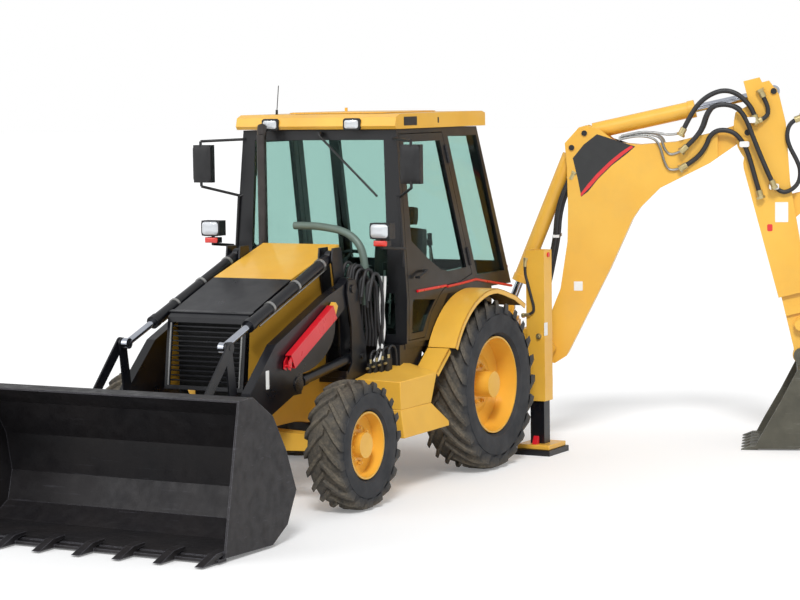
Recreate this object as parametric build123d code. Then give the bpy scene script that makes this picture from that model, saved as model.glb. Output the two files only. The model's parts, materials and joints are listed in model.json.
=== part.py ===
from build123d import *
import math
import os

# A backhoe loader, stored with its loader bucket on the ground, its stabilisers down
# and its hoe slewed to the left.  Millimetres.  The machine frame has +X to the
# machine's left, +Y to the rear, +Z up, the rear axle over y = 0 and the ground at
# z = 0.  The exported frame moves that to the middle of the machine's box.

# ---- whole machine ----
BOX_MID_X = 1039                    # middle of the stored machine's box, machine frame
BOX_MID_Y = -815
FIT = 0.05                          # radial clearance of a pin in its bore
GAP = 6                             # clearance between moving pieces

# ---- wheels and axles ----
FRONT_AXLE_Y = -2110
FRONT_TRACK_HALF = 938
FRONT_RADIUS = 480
FRONT_WIDTH = 310
FRONT_RIM = 250
REAR_TRACK_HALF = 880
REAR_RADIUS = 690
REAR_WIDTH = 425
REAR_RIM = 392
KINGPIN_X = 790
SPINDLE_RADIUS = 45
AXLE_TUBE = 85                      # radius of the rear axle's tube

# ---- frame and hood ----
RAIL_HALF = 350                     # outer face of the side rails
RAIL_THICK = 40
HOOD_HALF = 345
HOOD_SHEET = 8
HOOD_HINGE = (-1262, 1868)          # (y, z)
SEAM_Y = -1978                      # where the dark front of the hood meets the rest

# ---- cab ----
CAB_TOP_HALF = 700
CAB_LOW_HALF = 800
CAB_TOP_Z = 2770
CAB_SILL_Z = 1450
CAB_WALL = 45
CAB_FLOOR_Z = 1110
ROOF_HALF = 730
BEACON = (-60, -420, 2900, 2940)    # beacon spigot: x, y, foot and top

# ---- loader (y, z) ----
ARM_PIVOT = (-1480, 1570)
ARM_IN, ARM_OUT = 490, 566          # the two faces of an arm
ARM_PLATE = 8
BUCKET_PIN = (-3290, 300)
LINK_TOP = (-3029, 1268)
LINK_LOW = (-3452, 826)
LEVER_PIN = (-2947, 699)
TILT_BASE = (-1524, 1815)
TILT_X = 418                        # middle plane of a tilt cylinder
LIFT_BASE = (-1350, 1044)
LIFT_EYE = (-2257, 925)
LIFT_X = (ARM_IN + ARM_OUT) / 2
PISTON = 30
ARM_TUBE = (-2665, 770)
BUCKET_HALF = 1203
LEVER_BORE = 26                     # radius of the lever's pin
LEVER_X = (451, 465)                # plane of the tilt lever
LINK_X = (471, 484)                 # plane of the bucket link
EAR_X = ((449, 465), (489, 505))    # plates beside the link's open lower end

# ---- hoe, side view (r, z): r is measured from the swing axis ----
KING_X, KING_Y = 446, 1465
SLEW = 70                           # stored slew to the left, degrees
BOOM_FOOT = (363, 834)
BOOM_ROD_EYE = (11, 1177)
BOOM_CYL_BASE = (576, 2562)
STICK_CYL_BASE = (686, 2684)
STICK_PIN = (2070, 2673)
STICK_ROD_EYE = (2290, 3020)
HOE_PIN = (2517, 767)
HOE_LEVER_PIN = (2514, 1032)
HOE_LEVER_REACH = 250
HOE_LEVER_ANGLE = -10
BOOM_HALF = 145
BOOM_NECK = 1820                    # where the boom narrows to pass between the stick's cheeks
HOE_BUCKET_HALF = 457
HOE_CYL_BASE = (2600, 2130)
SIDE_SHIFT = 892                    # carriage travel to the right

# ---- stabilisers ----
STAB_X, STAB_Y = 1000, 930
STAB_TUBE_X, STAB_TUBE_Y = 168, 150
STAB_LOW_Z, STAB_TOP_Z = 450, 1722
STAB_WALL = 14


# ---------- helpers ----------
def yz(points, x0, x1):
    """Outline in (y, z), extruded from x0 to x1."""
    face = make_face(Polyline(*[(p[0], p[1]) for p in points], close=True))
    return extrude(Plane.YZ.offset(min(x0, x1)) * face, abs(x1 - x0))


def xz(points, y0, y1):
    """Outline in (x, z), extruded from y0 to y1."""
    face = make_face(Polyline(*[(p[0], p[1]) for p in points], close=True))
    return extrude(Plane.XZ.offset(-max(y0, y1)) * face, abs(y1 - y0))


def xy(points, z0, z1):
    """Outline in (x, y), extruded from z0 to z1."""
    face = make_face(Polyline(*[(p[0], p[1]) for p in points], close=True))
    return extrude(Plane.XY.offset(min(z0, z1)) * face, abs(z1 - z0))


def block(x0, x1, y0, y1, z0, z1):
    """Box given by its limits."""
    size = (abs(x1 - x0), abs(y1 - y0), abs(z1 - z0))
    return Pos((x0 + x1) / 2, (y0 + y1) / 2, (z0 + z1) / 2) * Box(*size)


def disc(centre, radius, x0, x1):
    """Cylinder along X at centre (y, z)."""
    place = Pos((x0 + x1) / 2, centre[0], centre[1]) * Rot(0, 90, 0)
    return place * Cylinder(radius, abs(x1 - x0))


def bar(start, end, radius):
    """Round bar between two 3D points."""
    a, b = Vector(*start), Vector(*end)
    plane = Plane(origin=a, z_dir=(b - a))
    return extrude(plane * Circle(radius), (b - a).length)


def plate(corners, radii, x0, x1):
    """Plate across X whose outline is the hull of discs at corners (y, z)."""
    shape = None
    for k, (centre, radius) in enumerate(zip(corners, radii)):
        piece = disc(centre, radius, x0, x1)
        shape = piece if shape is None else shape + piece
        if k:
            shape = shape + strap(corners[k - 1], radii[k - 1], centre, radius, x0, x1)
    return shape


def strap(c0, r0, c1, r1, x0, x1):
    """Straight-sided web tangent to two discs in the (y, z) plane."""
    dy, dz = c1[0] - c0[0], c1[1] - c0[1]
    length = math.hypot(dy, dz)
    lean = math.asin((r0 - r1) / length)
    along = math.atan2(dz, dy)
    points = []
    for side in (1, -1):
        angle = along + side * (math.pi / 2 - lean)
        ends = [(c0, r0), (c1, r1)]
        if side < 0:
            ends.reverse()
        for centre, radius in ends:
            points.append((centre[0] + radius * math.cos(angle),
                           centre[1] + radius * math.sin(angle)))
    return yz(points, x0, x1)


def towards(start, end, distance):
    """Point at a distance from start on the line to end, both (y, z)."""
    length = math.dist(start, end)
    return (start[0] + (end[0] - start[0]) * distance / length,
            start[1] + (end[1] - start[1]) * distance / length)


def both(shape):
    """A left-hand shape and its right-hand mirror, as a list of two solids."""
    return [shape, mirror(shape, Plane.YZ)]


# ---------- wheels ----------
def tyre(radius, width, rim, lug_height, lugs):
    """Carcass with two rows of slanted lugs, axle along X, centred on the origin."""
    crown = radius - lug_height
    profile = [(-0.40 * width, rim), (-0.5 * width, rim + 0.35 * (crown - rim)),
               (-0.43 * width, crown - 0.12 * width), (-0.30 * width, crown),
               (0.30 * width, crown), (0.43 * width, crown - 0.12 * width),
               (0.5 * width, rim + 0.35 * (crown - rim)), (0.40 * width, rim)]
    body = revolve(make_face(Polyline(*profile, close=True)), Axis.X)
    pitch = 360 / lugs
    foot = 0.20 * width
    round_over = [math.radians(angle) for angle in (-9, 0, 9, 18, 27)]
    cap = yz([(-radius * math.sin(a), radius * math.cos(a)) for a in round_over]
             + [(-radius * math.sin(round_over[-1]), 0), (-radius * math.sin(round_over[0]), 0)],
             -width, width)
    cap = Rot(0, 0, 180) * cap
    for row, side in enumerate((1, -1)):
        for k in range(lugs):
            inner = (side * -0.03 * width, 0)
            outer = (side * 0.47 * width, 0.62 * pitch * math.pi / 180 * radius)
            half = 0.085 * width
            low = crown - foot
            face = make_face(Polyline((inner[0], inner[1] - half), (outer[0], outer[1] - half),
                                      (outer[0], outer[1] + half), (inner[0], inner[1] + half),
                                      close=True))
            lug = extrude(Plane.XY.offset(low) * face, radius - low)
            trim = xz([(side * -0.06 * width, low), (side * -0.06 * width, radius),
                       (side * 0.42 * width, radius - 0.02 * width),
                       (side * 0.5 * width, radius - 0.20 * width), (side * 0.5 * width, low)],
                      -radius, radius)
            body = body + Rot((k + 0.5 * row) * pitch, 0, 0) * (lug & trim & cap)
    return body


def rim(radius, width, dish, hub):
    """Wheel disc and barrel; the outer side is +X."""
    wall = 14
    half = 0.40 * width
    barrel = [(-half, radius - wall), (-half, radius), (half, radius), (half, radius - wall)]
    centre = [(dish, 0), (dish, radius - wall), (dish + 18, radius - wall),
              (dish + 18, 0.62 * radius), (dish + 34, 0.5 * radius), (dish + 34, 0)]
    hub_shape = [(dish - 40, 0), (dish - 40, hub), (half - 12, hub), (half - 12, 0)]
    shape = None
    for profile in (barrel, centre, hub_shape):
        piece = revolve(make_face(Polyline(*profile, close=True)), Axis.X)
        shape = piece if shape is None else shape + piece
    return shape


def wheels():
    nodes = {}
    front_tyre = tyre(FRONT_RADIUS, FRONT_WIDTH, FRONT_RIM, 30, 16)
    rear_tyre = tyre(REAR_RADIUS, REAR_WIDTH, REAR_RIM, 36, 18)
    front_rim = rim(FRONT_RIM, FRONT_WIDTH, 10, 95)
    rear_rim = rim(REAR_RIM, REAR_WIDTH, -20, 105)
    places = [("front", FRONT_TRACK_HALF, FRONT_AXLE_Y, FRONT_RADIUS, front_tyre, front_rim),
              ("rear", REAR_TRACK_HALF, 0, REAR_RADIUS, rear_tyre, rear_rim)]
    for end, x, y, z, rubber, steel in places:
        nodes[end + "_tyre_left"] = [Pos(x, y, z) * rubber]
        nodes[end + "_tyre_right"] = [Pos(-x, y, z) * mirror(rubber, Plane.YZ)]
        nodes[end + "_rim_left"] = [Pos(x, y, z) * steel]
        nodes[end + "_rim_right"] = [Pos(-x, y, z) * mirror(steel, Plane.YZ)]
    return nodes


def axles():
    z = FRONT_RADIUS
    y = FRONT_AXLE_Y
    fork_in, fork_out = KINGPIN_X - 75, KINGPIN_X + 40
    beam = xz([(-fork_in, z - 55), (-250, z - 75), (250, z - 75), (fork_in, z - 55),
               (fork_in, z + 55), (250, z + 75), (-250, z + 75), (-fork_in, z + 55)],
              y - 70, y + 70)
    beam = beam + Pos(0, y, z) * Rot(0, 90, 0) * Cylinder(115, 240)
    for side in (1, -1):
        for low in (z - 105, z + 65):
            arm = block(side * (fork_in - 30), side * (fork_out - 5), y - 45, y + 45, low, low + 40)
            beam = beam + arm
        beam = beam + block(side * (fork_in - 30), side * (fork_in), y - 45, y + 45, z - 105, z + 105)
        pin = Pos(side * KINGPIN_X, y, z) * Cylinder(20 + FIT, 400)
        beam = beam - pin
    trunnion = Pos(0, y, z) * Rot(90, 0, 0) * Cylinder(60, 350)
    beam = beam + trunnion
    knuckle = (Pos(KINGPIN_X, y, z) * Cylinder(20, 205)
               + block(KINGPIN_X - 42, KINGPIN_X + 45, y - 42, y + 42, z - 59, z + 59)
               + disc((y, z), SPINDLE_RADIUS, KINGPIN_X + 40, FRONT_TRACK_HALF - 42))
    zr = REAR_RADIUS
    reach = REAR_TRACK_HALF - 70
    rear = disc((0, zr), AXLE_TUBE, -reach, reach) + disc((0, zr), 150, -600, -520)
    rear = rear + disc((0, zr), 150, 520, 600)
    drum = [(-215, 0), (-215, 95), (-150, 165), (-60, 210), (60, 210), (150, 165), (215, 95), (215, 0)]
    rear = rear + Pos(0, 0, zr) * revolve(make_face(Polyline(*drum, close=True)), Axis.X)
    rear = rear + Pos(0, -200, zr) * Rot(90, 0, 0) * Cylinder(110, 260)
    left, right = both(knuckle)
    return {"front_axle": [beam], "rear_axle": [rear],
            "knuckle_left": [left], "knuckle_right": [right]}


# ---------- frame, tower, hood ----------
def main_frame():
    side = [(-2300, 600), (-2300, 690), (-2176, 735), (-1880, 940), (-1600, 1060), (-1250, 1060),
            (-1150, 880), (560, 880), (700, 720), (700, 560), (-1500, 520), (-1900, 600)]
    inner = RAIL_HALF - RAIL_THICK
    frame = yz(side, inner, RAIL_HALF) + yz(side, -RAIL_HALF, -inner)
    crosses = [(-2300, -2262, 600, 690), (-1720, -1560, 560, 640), (-700, -600, 600, 760),
               (300, 420, 600, 760), (660, 700, 560, 640)]
    for y0, y1, z0, z1 in crosses:
        frame = frame + block(-inner, inner, y0, y1, z0, z1)
    for y0, y1 in ((FRONT_AXLE_Y - 175, FRONT_AXLE_Y - 135), (FRONT_AXLE_Y + 135, FRONT_AXLE_Y + 175)):
        hanger = block(-inner, inner, y0, y1, 600, 680) + block(-90, 90, y0, y1, 400, 680)
        frame = frame + hanger
    bore = Pos(0, FRONT_AXLE_Y, FRONT_RADIUS) * Rot(90, 0, 0) * Cylinder(60 + FIT, 500)
    axle_bore = disc((0, REAR_RADIUS), AXLE_TUBE + FIT, -500, 500)
    return {"main_frame": [frame - bore - axle_bore]}


def loader_tower():
    """Two towers: three upright plates each, on a foot welded to the rail."""
    foot = block(RAIL_HALF, 587, -1600, -1260, 860, 900)
    tilt_side = [(-1590, 900), (-1270, 900), (-1290, 1150), (-1370, 1300), (-1450, 1815),
                 (-1464, 1885), (-1584, 1885), (-1600, 1785), (-1500, 1300), (-1500, 1000)]
    arm_side = [(-1590, 900), (-1270, 900), (-1290, 1150), (-1340, 1300), (-1400, 1560), (-1430, 1640),
                (-1540, 1640), (-1560, 1540), (-1500, 1300), (-1500, 1000)]
    tower = foot
    for outline, x0, x1 in ((tilt_side, 352, 366), (tilt_side, 469, 483), (arm_side, 573, 587)):
        tower = tower + yz(outline, x0, x1)
    tower = tower + block(352, 587, -1590, -1572, 900, 950)
    tower = tower + block(366, 469, -1395, -1381, 1120, 1500)
    tower = tower + disc(LIFT_BASE, 34, 483, 498) + disc(LIFT_BASE, 34, 558, 573)
    pins = [(TILT_BASE, 24, 352, 483), (ARM_PIVOT, 32, 469, 600), (LIFT_BASE, 24, 469, 600)]
    for centre, radius, x0, x1 in pins:
        tower = tower + disc(centre, radius, x0, x1)
    return {"loader_tower": both(tower)}


def hood():
    """Sloping hood: a sheet-metal shell, with a dark nose that carries the grille."""
    crown = [(-1262, 1892), (SEAM_Y, 1674), (-2540, 1466), (-2600, 1430), (-2672, 900)]
    drop = [(-2380, 900), (-2200, 1060), (-1640, 1100), (-1262, 1180)]
    outer = yz(crown + drop, -HOOD_HALF, HOOD_HALF)
    core = [(-1250, 1884), (SEAM_Y, 1666), (-2538, 1456), (-2590, 1424), (-2664, 890)]
    under = [(-2380, 880), (-1250, 880)]
    inside = yz(core + under, -HOOD_HALF + HOOD_SHEET, HOOD_HALF - HOOD_SHEET)
    shell = outer - inside
    split = [(SEAM_Y, 2000), (SEAM_Y, 1640), (-2560, 1350), (-2612, 860), (-2800, 860), (-2800, 2000)]
    nose_zone = yz(split, -500, 500)
    nose = shell & nose_zone
    cover = shell - nose_zone
    for x in (-250, 190):
        cover = cover + disc(HOOD_HINGE, 20, x, x + 60)
    opening = xz([(-300, 930), (300, 930), (300, 1390), (-300, 1390)], -2720, -2540)
    nose = nose - opening
    for k in range(12):
        z = 960 + k * 36
        y = -2668 + (z - 900) * 0.135
        nose = nose + block(-300, 300, y + 6, y + 30, z, z + 10)
    bonnet = [s for s in cover.solids()]
    front = [s for s in nose.solids()]
    return {"hood": bonnet, "hood_nose": front}


def radiator():
    """Core behind the grille, on two side plates that stand on the frame's front cross member."""
    core = block(-290, 290, -2550, -2470, 910, 1390)
    plate_side = [(-2550, 912), (-2470, 912), (-2300, 690), (-2300, 610), (-2440, 700)]
    inner = RAIL_HALF - RAIL_THICK
    for side in (1, -1):
        core = core + yz(plate_side, side * (inner - 12), side * inner)
    return {"radiator": [core + block(-298, 298, -2550, -2470, 905, 915)]}


def engine():
    block_shape = block(-240, 240, -2420, -1640, 800, 1330) + block(-180, 180, -1640, -1480, 760, 1180)
    return {"engine_block": [block_shape]}


def exhaust():
    x, y = -432, -1120
    stack = Pos(x, y, 2290) * Cylinder(38, 900)
    stack = stack + Pos(x, y, 1790) * Cylinder(52, 160)
    stack = stack + bar((x, y, 2720), (x - 30, y + 60, 2800), 38)
    stack = stack + bar((x, y, 1760), (x + 130, y - 60, 1700), 40)
    return {"exhaust_stack": [stack]}


# ---------- cab ----------
def cab_zone(inset):
    """Closed volume of the cab, shrunk by inset on every side."""
    lean = (CAB_LOW_HALF - CAB_TOP_HALF) / (CAB_TOP_Z - CAB_SILL_Z)
    low, top = CAB_LOW_HALF - inset, CAB_TOP_HALF - inset
    front = -1005 + inset
    side = yz([(front - 15, 1110 + inset), (front, CAB_SILL_Z), (front + 40, CAB_TOP_Z - inset),
               (395 - inset, CAB_TOP_Z - inset), (805 - inset, CAB_SILL_Z + inset),
               (-330 - inset, CAB_SILL_Z + inset), (-640 - inset, 1110 + inset)], -900, 900)
    ends = xz([(-low, 1000), (low, 1000), (low, CAB_SILL_Z), (top, CAB_TOP_Z), (-top, CAB_TOP_Z),
               (-low, CAB_SILL_Z)], -1200, 1200)
    return side & ends


def through(points, x0=600, x1=900):
    """Window cutter through the left wall."""
    return yz(points, x0, x1)


DOOR = [(-985, 1135), (-925, 2735), (-215, 2735), (110, 1575), (-100, 1530), (-330, 1520),
        (-460, 1455), (-610, 1330), (-725, 1135)]
DOOR_GLASS = [(-860, 1900), (-862, 2670), (-262, 2670), (25, 1635), (-300, 1625), (-420, 1650),
              (-600, 1740), (-780, 1850)]
DOOR_LOW_GLASS = [(-930, 1185), (-915, 1450), (-545, 1420), (-665, 1310), (-755, 1185)]
DOOR_LOW, DOOR_HIGH = (113, 1575), (-212, 2735)     # ends of the door's hinge line, (y, z)
DOOR_HINGES = (1720, 2560)          # heights of the door's hinges
HINGE_LEAF = 24
HINGE_RADIUS = 14
HINGE_PLAY = 2
HINGE_PROUD = 4                     # hinge line outside the wall
QUARTER_GLASS = [(-120, 2700), (375, 2700), (700, 1560), (200, 1560)]


def shrink(points, distance):
    """Outline moved inwards by a distance."""
    face = make_face(Polyline(*points, close=True))
    loop = offset(face, amount=-distance, kind=Kind.INTERSECTION)
    return loop


def window(points, distance, x0, x1):
    """Prism of an outline in (y, z) moved inwards by a distance."""
    return extrude(Plane.YZ.offset(x0) * shrink(points, distance), x1 - x0)


def hinge_point(z):
    """Point on the left door's hinge line, just outside the wall, at a height."""
    share = (z - DOOR_LOW[1]) / (DOOR_HIGH[1] - DOOR_LOW[1])
    lean = (CAB_LOW_HALF - CAB_TOP_HALF) / (CAB_TOP_Z - CAB_SILL_Z)
    x = CAB_LOW_HALF - (z - CAB_SILL_Z) * lean + HINGE_PROUD
    return (x, DOOR_LOW[0] + share * (DOOR_HIGH[0] - DOOR_LOW[0]), z)


def knuckle(z0, z1, extra=0):
    """Round part of a door hinge between two heights."""
    return bar(hinge_point(z0), hinge_point(z1), HINGE_RADIUS + extra)


def cab():
    shell = cab_zone(0) - cab_zone(CAB_WALL)
    low, top = CAB_LOW_HALF, CAB_TOP_HALF
    side_wall = xz([(low - CAB_WALL, 1000), (low, 1000), (low, CAB_SILL_Z), (top, CAB_TOP_Z),
                    (top - CAB_WALL, CAB_TOP_Z), (low - CAB_WALL, CAB_SILL_Z)], -1200, 1200)
    left_door = shell & window(DOOR, GAP / 2, 600, 900) & side_wall
    opening = window(DOOR, -GAP / 2, 600, 900)
    door_holes = through(DOOR_GLASS) + through(DOOR_LOW_GLASS)
    quarter = through(QUARTER_GLASS)
    for cutter in (opening, quarter):
        shell = shell - cutter - mirror(cutter, Plane.YZ)
    screen = xz([(-630, 1560), (630, 1560), (590, 2690), (-590, 2690)], -1100, -900)
    low_screen = xz([(380, 1180), (700, 1180), (690, 1500), (380, 1500)], -1100, -900)
    rear = xz([(-690, 1640), (690, 1640), (610, 2690), (-610, 2690)], 340, 900)
    pane_zone = cab_zone(18) - cab_zone(24)
    glass = []
    for cutter in (screen, low_screen, mirror(low_screen, Plane.YZ), rear, quarter,
                   mirror(quarter, Plane.YZ)):
        shell = shell - cutter
        glass.append(pane_zone & cutter)
    door = left_door - door_holes
    for z in DOOR_HINGES:
        middle = knuckle(z - HINGE_LEAF, z + HINGE_LEAF, HINGE_PLAY)
        shell = shell - middle - mirror(middle, Plane.YZ)
        door = door + knuckle(z - HINGE_LEAF + HINGE_PLAY, z + HINGE_LEAF - HINGE_PLAY)
        for z0 in (z - 3 * HINGE_LEAF, z + HINGE_LEAF):
            door = door - knuckle(z0, z0 + 2 * HINGE_LEAF, HINGE_PLAY)
            leaf = knuckle(z0, z0 + 2 * HINGE_LEAF)
            shell = shell + leaf + mirror(leaf, Plane.YZ)
    door_glass = [pane_zone & through(DOOR_GLASS), pane_zone & through(DOOR_LOW_GLASS)]
    tub_half, tub_back, sheet = 640, 760, 40
    sill_top = CAB_SILL_Z + CAB_WALL
    shell = shell - block(-tub_half, tub_half, -960, tub_back, 1100, sill_top + 10)
    floor = block(-tub_half, tub_half, -960, tub_back, CAB_FLOOR_Z - CAB_WALL, CAB_FLOOR_Z)
    walls = block(-tub_half, -tub_half + sheet, -640, tub_back, CAB_FLOOR_Z, sill_top)
    walls = walls + block(tub_half - sheet, tub_half, -640, tub_back, CAB_FLOOR_Z, sill_top)
    back = block(-tub_half, tub_half, tub_back - sheet, tub_back, CAB_FLOOR_Z, sill_top)
    front_floor = block(-780, 780, -1010, -640, CAB_FLOOR_Z - CAB_WALL, CAB_FLOOR_Z)
    tub = floor + walls + back + front_floor
    shell = shell + tub
    frame_parts = sorted(shell.solids(), key=lambda s: -s.volume)
    nodes = {"cab_frame": frame_parts[:1], "cab_glass": [s for g in glass for s in g.solids()]}
    nodes["door_left"] = door.solids()
    nodes["door_right"] = mirror(door, Plane.YZ).solids()
    nodes["door_glass_left"] = [s for g in door_glass for s in g.solids()]
    nodes["door_glass_right"] = [mirror(s, Plane.YZ) for g in door_glass for s in g.solids()]
    return nodes


def roof():
    outline = [(-1010, 2775), (-1030, 2800), (-1010, 2868), (-950, 2892), (440, 2896), (500, 2880),
               (500, 2775)]
    slab = yz(outline, -ROOF_HALF, ROOF_HALF)
    x, y, low, top = BEACON
    spigot = Pos(x, y, (low + top) / 2) * Cylinder(12, top - low)
    boss = Pos(x, y, low - 15) * Cylinder(30, 30)
    return {"cab_roof": [slab + boss + spigot]}


def seat():
    base = block(-150, 150, -40, 240, CAB_FLOOR_Z, 1300) + block(-200, 200, -140, 300, 1300, 1330)
    cushion = block(-240, 240, -190, 270, 1332, 1450)
    back = yz([(250, 1452), (370, 1452), (430, 2080), (340, 2110)], -235, 235)
    arms = block(-300, -250, -120, 300, 1560, 1610) + block(250, 300, -120, 300, 1560, 1610)
    rails = block(-300, -230, 280, 320, 1560, 1610) + block(230, 300, 280, 320, 1560, 1610)
    cushion = cushion + back
    return {"seat": [base] + [s for s in (cushion + arms + rails).solids()]}


def cab_controls():
    column = yz([(-900, CAB_FLOOR_Z), (-760, CAB_FLOOR_Z), (-640, 1560), (-700, 1590), (-790, 1590)],
                -110, 110)
    dash = yz([(-955, 1400), (-955, 1620), (-760, 1680), (-700, 1560), (-760, 1400)], -330, 330)
    tilt = Pos(0, -620, 1700) * Rot(25, 0, 0)
    ring = [(190 + 14 * math.cos(k * math.pi / 3), 14 * math.sin(k * math.pi / 3)) for k in range(6)]
    rim_ring = make_face(Polyline(*[(u, 0, v) for u, v in ring], close=True))
    wheel = tilt * revolve(rim_ring, Axis.Z) + tilt * Cylinder(40, 30)
    for k in range(3):
        wheel = wheel + tilt * Rot(0, 0, 90 + 120 * k) * Pos(95, 0, 0) * Box(190, 26, 12)
    stem = bar((0, -720, 1560), (0, -620, 1700), 26)
    front = column + dash + stem + wheel
    hoe = yz([(560, CAB_FLOOR_Z), (700, CAB_FLOOR_Z), (700, 1560), (600, 1560)], -260, 260)
    for x in (-160, 160):
        hoe = hoe + bar((x, 630, 1550), (x, 560, 1780), 12) + bar((x, 563, 1770), (x, 552, 1820), 24)
    return {"cab_controls": [front, hoe]}


def fenders():
    """Wheel-arch bands that widen from the door to the full width over the wheel."""
    arch = [(-730, 1090), (-660, 1230), (-560, 1330), (-430, 1430), (-250, 1500), (-50, 1500),
            (200, 1440), (380, 1340), (480, 1240)]
    inner = []
    for y, z in arch:
        reach = math.hypot(y, z - REAR_RADIUS)
        scale = (reach - 18) / reach
        inner.append((y * scale, REAR_RADIUS + (z - REAR_RADIUS) * scale))
    band = yz(arch + inner[::-1], 806, 1090)
    taper = xy([(845, -760), (865, -660), (940, -430), (1010, -250), (1090, -20), (1200, -20),
                (1200, -900), (845, -900)], 900, 1700)
    return {"rear_fenders": both(band - taper)}


def side_boxes():
    tank = yz([(-1490, 460), (-1490, 900), (-1190, 1060), (-900, 1060), (-830, 890), (-830, 460)],
              600, 1000)
    bracket = block(RAIL_HALF, 600, -1150, -1050, 560, 640) + block(RAIL_HALF, 600, -930, -850, 560, 640)
    return {"side_boxes": both(tank + bracket)}


def rear_frame():
    frame = block(-1085, 1085, 860, 1005, 560, 660) + block(-1085, 1085, 860, 1005, 960, 1060)
    frame = frame + block(-330, -250, 700, 860, 560, 1060) + block(250, 330, 700, 860, 560, 1060)
    frame = frame + block(-600, -560, 870, 995, 660, 960) + block(560, 600, 870, 995, 660, 960)
    wall = STAB_WALL
    for side in (1, -1):
        tube = Pos(side * STAB_X, STAB_Y, (STAB_LOW_Z + STAB_TOP_Z) / 2)
        outer = tube * Box(STAB_TUBE_X, STAB_TUBE_Y, STAB_TOP_Z - STAB_LOW_Z)
        inner = tube * Box(STAB_TUBE_X - 2 * wall, STAB_TUBE_Y - 2 * wall, STAB_TOP_Z - STAB_LOW_Z)
        frame = (frame - outer) + (outer - inner)
    return {"rear_frame": [frame]}


def stabiliser_legs():
    wide = STAB_TUBE_X - 2 * STAB_WALL - 2 * GAP
    deep = STAB_TUBE_Y - 2 * STAB_WALL - 2 * GAP
    leg = Pos(STAB_X, STAB_Y, 0) * Pos(0, 0, (80 + 1250) / 2) * Box(wide, deep, 1250 - 80)
    ears = Pos(STAB_X, STAB_Y + 20, 60) * Box(120, 90, 60)
    sole = Pos(STAB_X, STAB_Y + 20, 24) * Box(330, 380, 48)
    left, right = both(leg + ears + sole)
    return {"stabiliser_leg_left": [left], "stabiliser_leg_right": [right]}


def mirrors_and_lamps():
    x, y = 958, -1200
    arm = bar((690, -985, 2700), (x, y, 2690), 11) + bar((x, y, 2690), (x, y, 2330), 11)
    arm = arm + bar((x, y, 2330), (740, -985, 2250), 11)
    head = Pos(x - 10, y + 30, 2510) * Box(170, 50, 300)
    mirror_set = arm + head
    lamp = bar((769, -1332, 1880), (790, -1010, 1850), 12) + bar((769, -1332, 1870), (769, -1332, 1960), 14)
    lamp = lamp + Pos(769, -1322, 2007) * Box(170, 90, 120) + Pos(769, -1326, 1912) * Box(120, 60, 44)
    return {"mirrors": both(mirror_set), "work_lamps": both(lamp)}


# ---------- loader ----------
def loader_arms():
    outline = [(-1440, 1650), (-1830, 1536), (-2564, 1247), (-2914, 929), (-3350, 345), (-3345, 245),
               (-3250, 225), (-2653, 735), (-2330, 850), (-2215, 850), (-2195, 1000), (-2100, 1012),
               (-2000, 1036), (-1920, 1066), (-1855, 1103), (-1796, 1147), (-1752, 1195),
               (-1722, 1250), (-1708, 1342), (-1500, 1466), (-1440, 1500)]
    arm = yz(outline, ARM_IN, ARM_OUT)
    hollow = [(-1670, 1380), (-1760, 1340), (-2040, 1200), (-2420, 1190), (-2500, 1060), (-2500, 800),
              (-2330, 700), (-1600, 700)]
    arm = arm - yz(hollow, ARM_IN + ARM_PLATE, ARM_OUT - ARM_PLATE)
    arm = arm + disc(ARM_PIVOT, 85, ARM_IN, ARM_OUT) - disc(ARM_PIVOT, 32 + FIT, 400, 700)
    arm = arm + disc(BUCKET_PIN, 75, ARM_IN, ARM_OUT) - disc(BUCKET_PIN, 30 + FIT, 400, 700)
    arm = arm - disc(LEVER_PIN, LEVER_BORE + FIT, ARM_IN - 5, ARM_IN + 60)
    arm = arm + disc(LIFT_EYE, 60, ARM_OUT, ARM_OUT + 8)
    pair = both(arm)
    cross = bar((-ARM_IN, *ARM_TUBE), (ARM_IN, *ARM_TUBE), 50)
    return {"loader_arms": [pair[0] + pair[1] + cross]}


def service_strut():
    top, low = (-1808, 1423), (-2420, 1111)
    dy, dz = low[0] - top[0], low[1] - top[1]
    length = math.hypot(dy, dz)
    ny, nz = -dz / length, dy / length
    half = 57
    corners = [(top[0] + ny * half, top[1] + nz * half), (low[0] + ny * half, low[1] + nz * half),
               (low[0] - ny * half, low[1] - nz * half), (top[0] - ny * half, top[1] - nz * half)]
    body = yz(corners, ARM_OUT + 6, ARM_OUT + 60)
    thin = half - 7
    inner = [(top[0] + ny * thin, top[1] + nz * thin), (low[0] + ny * thin, low[1] + nz * thin),
             (low[0] - ny * thin, low[1] - nz * thin), (top[0] - ny * thin, top[1] - nz * thin)]
    body = body - yz(inner, ARM_OUT, ARM_OUT + 53)
    stub = disc(towards(top, low, 60), 16, ARM_OUT, ARM_OUT + 53)
    stub_low = disc(towards(low, top, 60), 16, ARM_OUT, ARM_OUT + 53)
    return {"service_strut": [body + stub + stub_low]}


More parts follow.
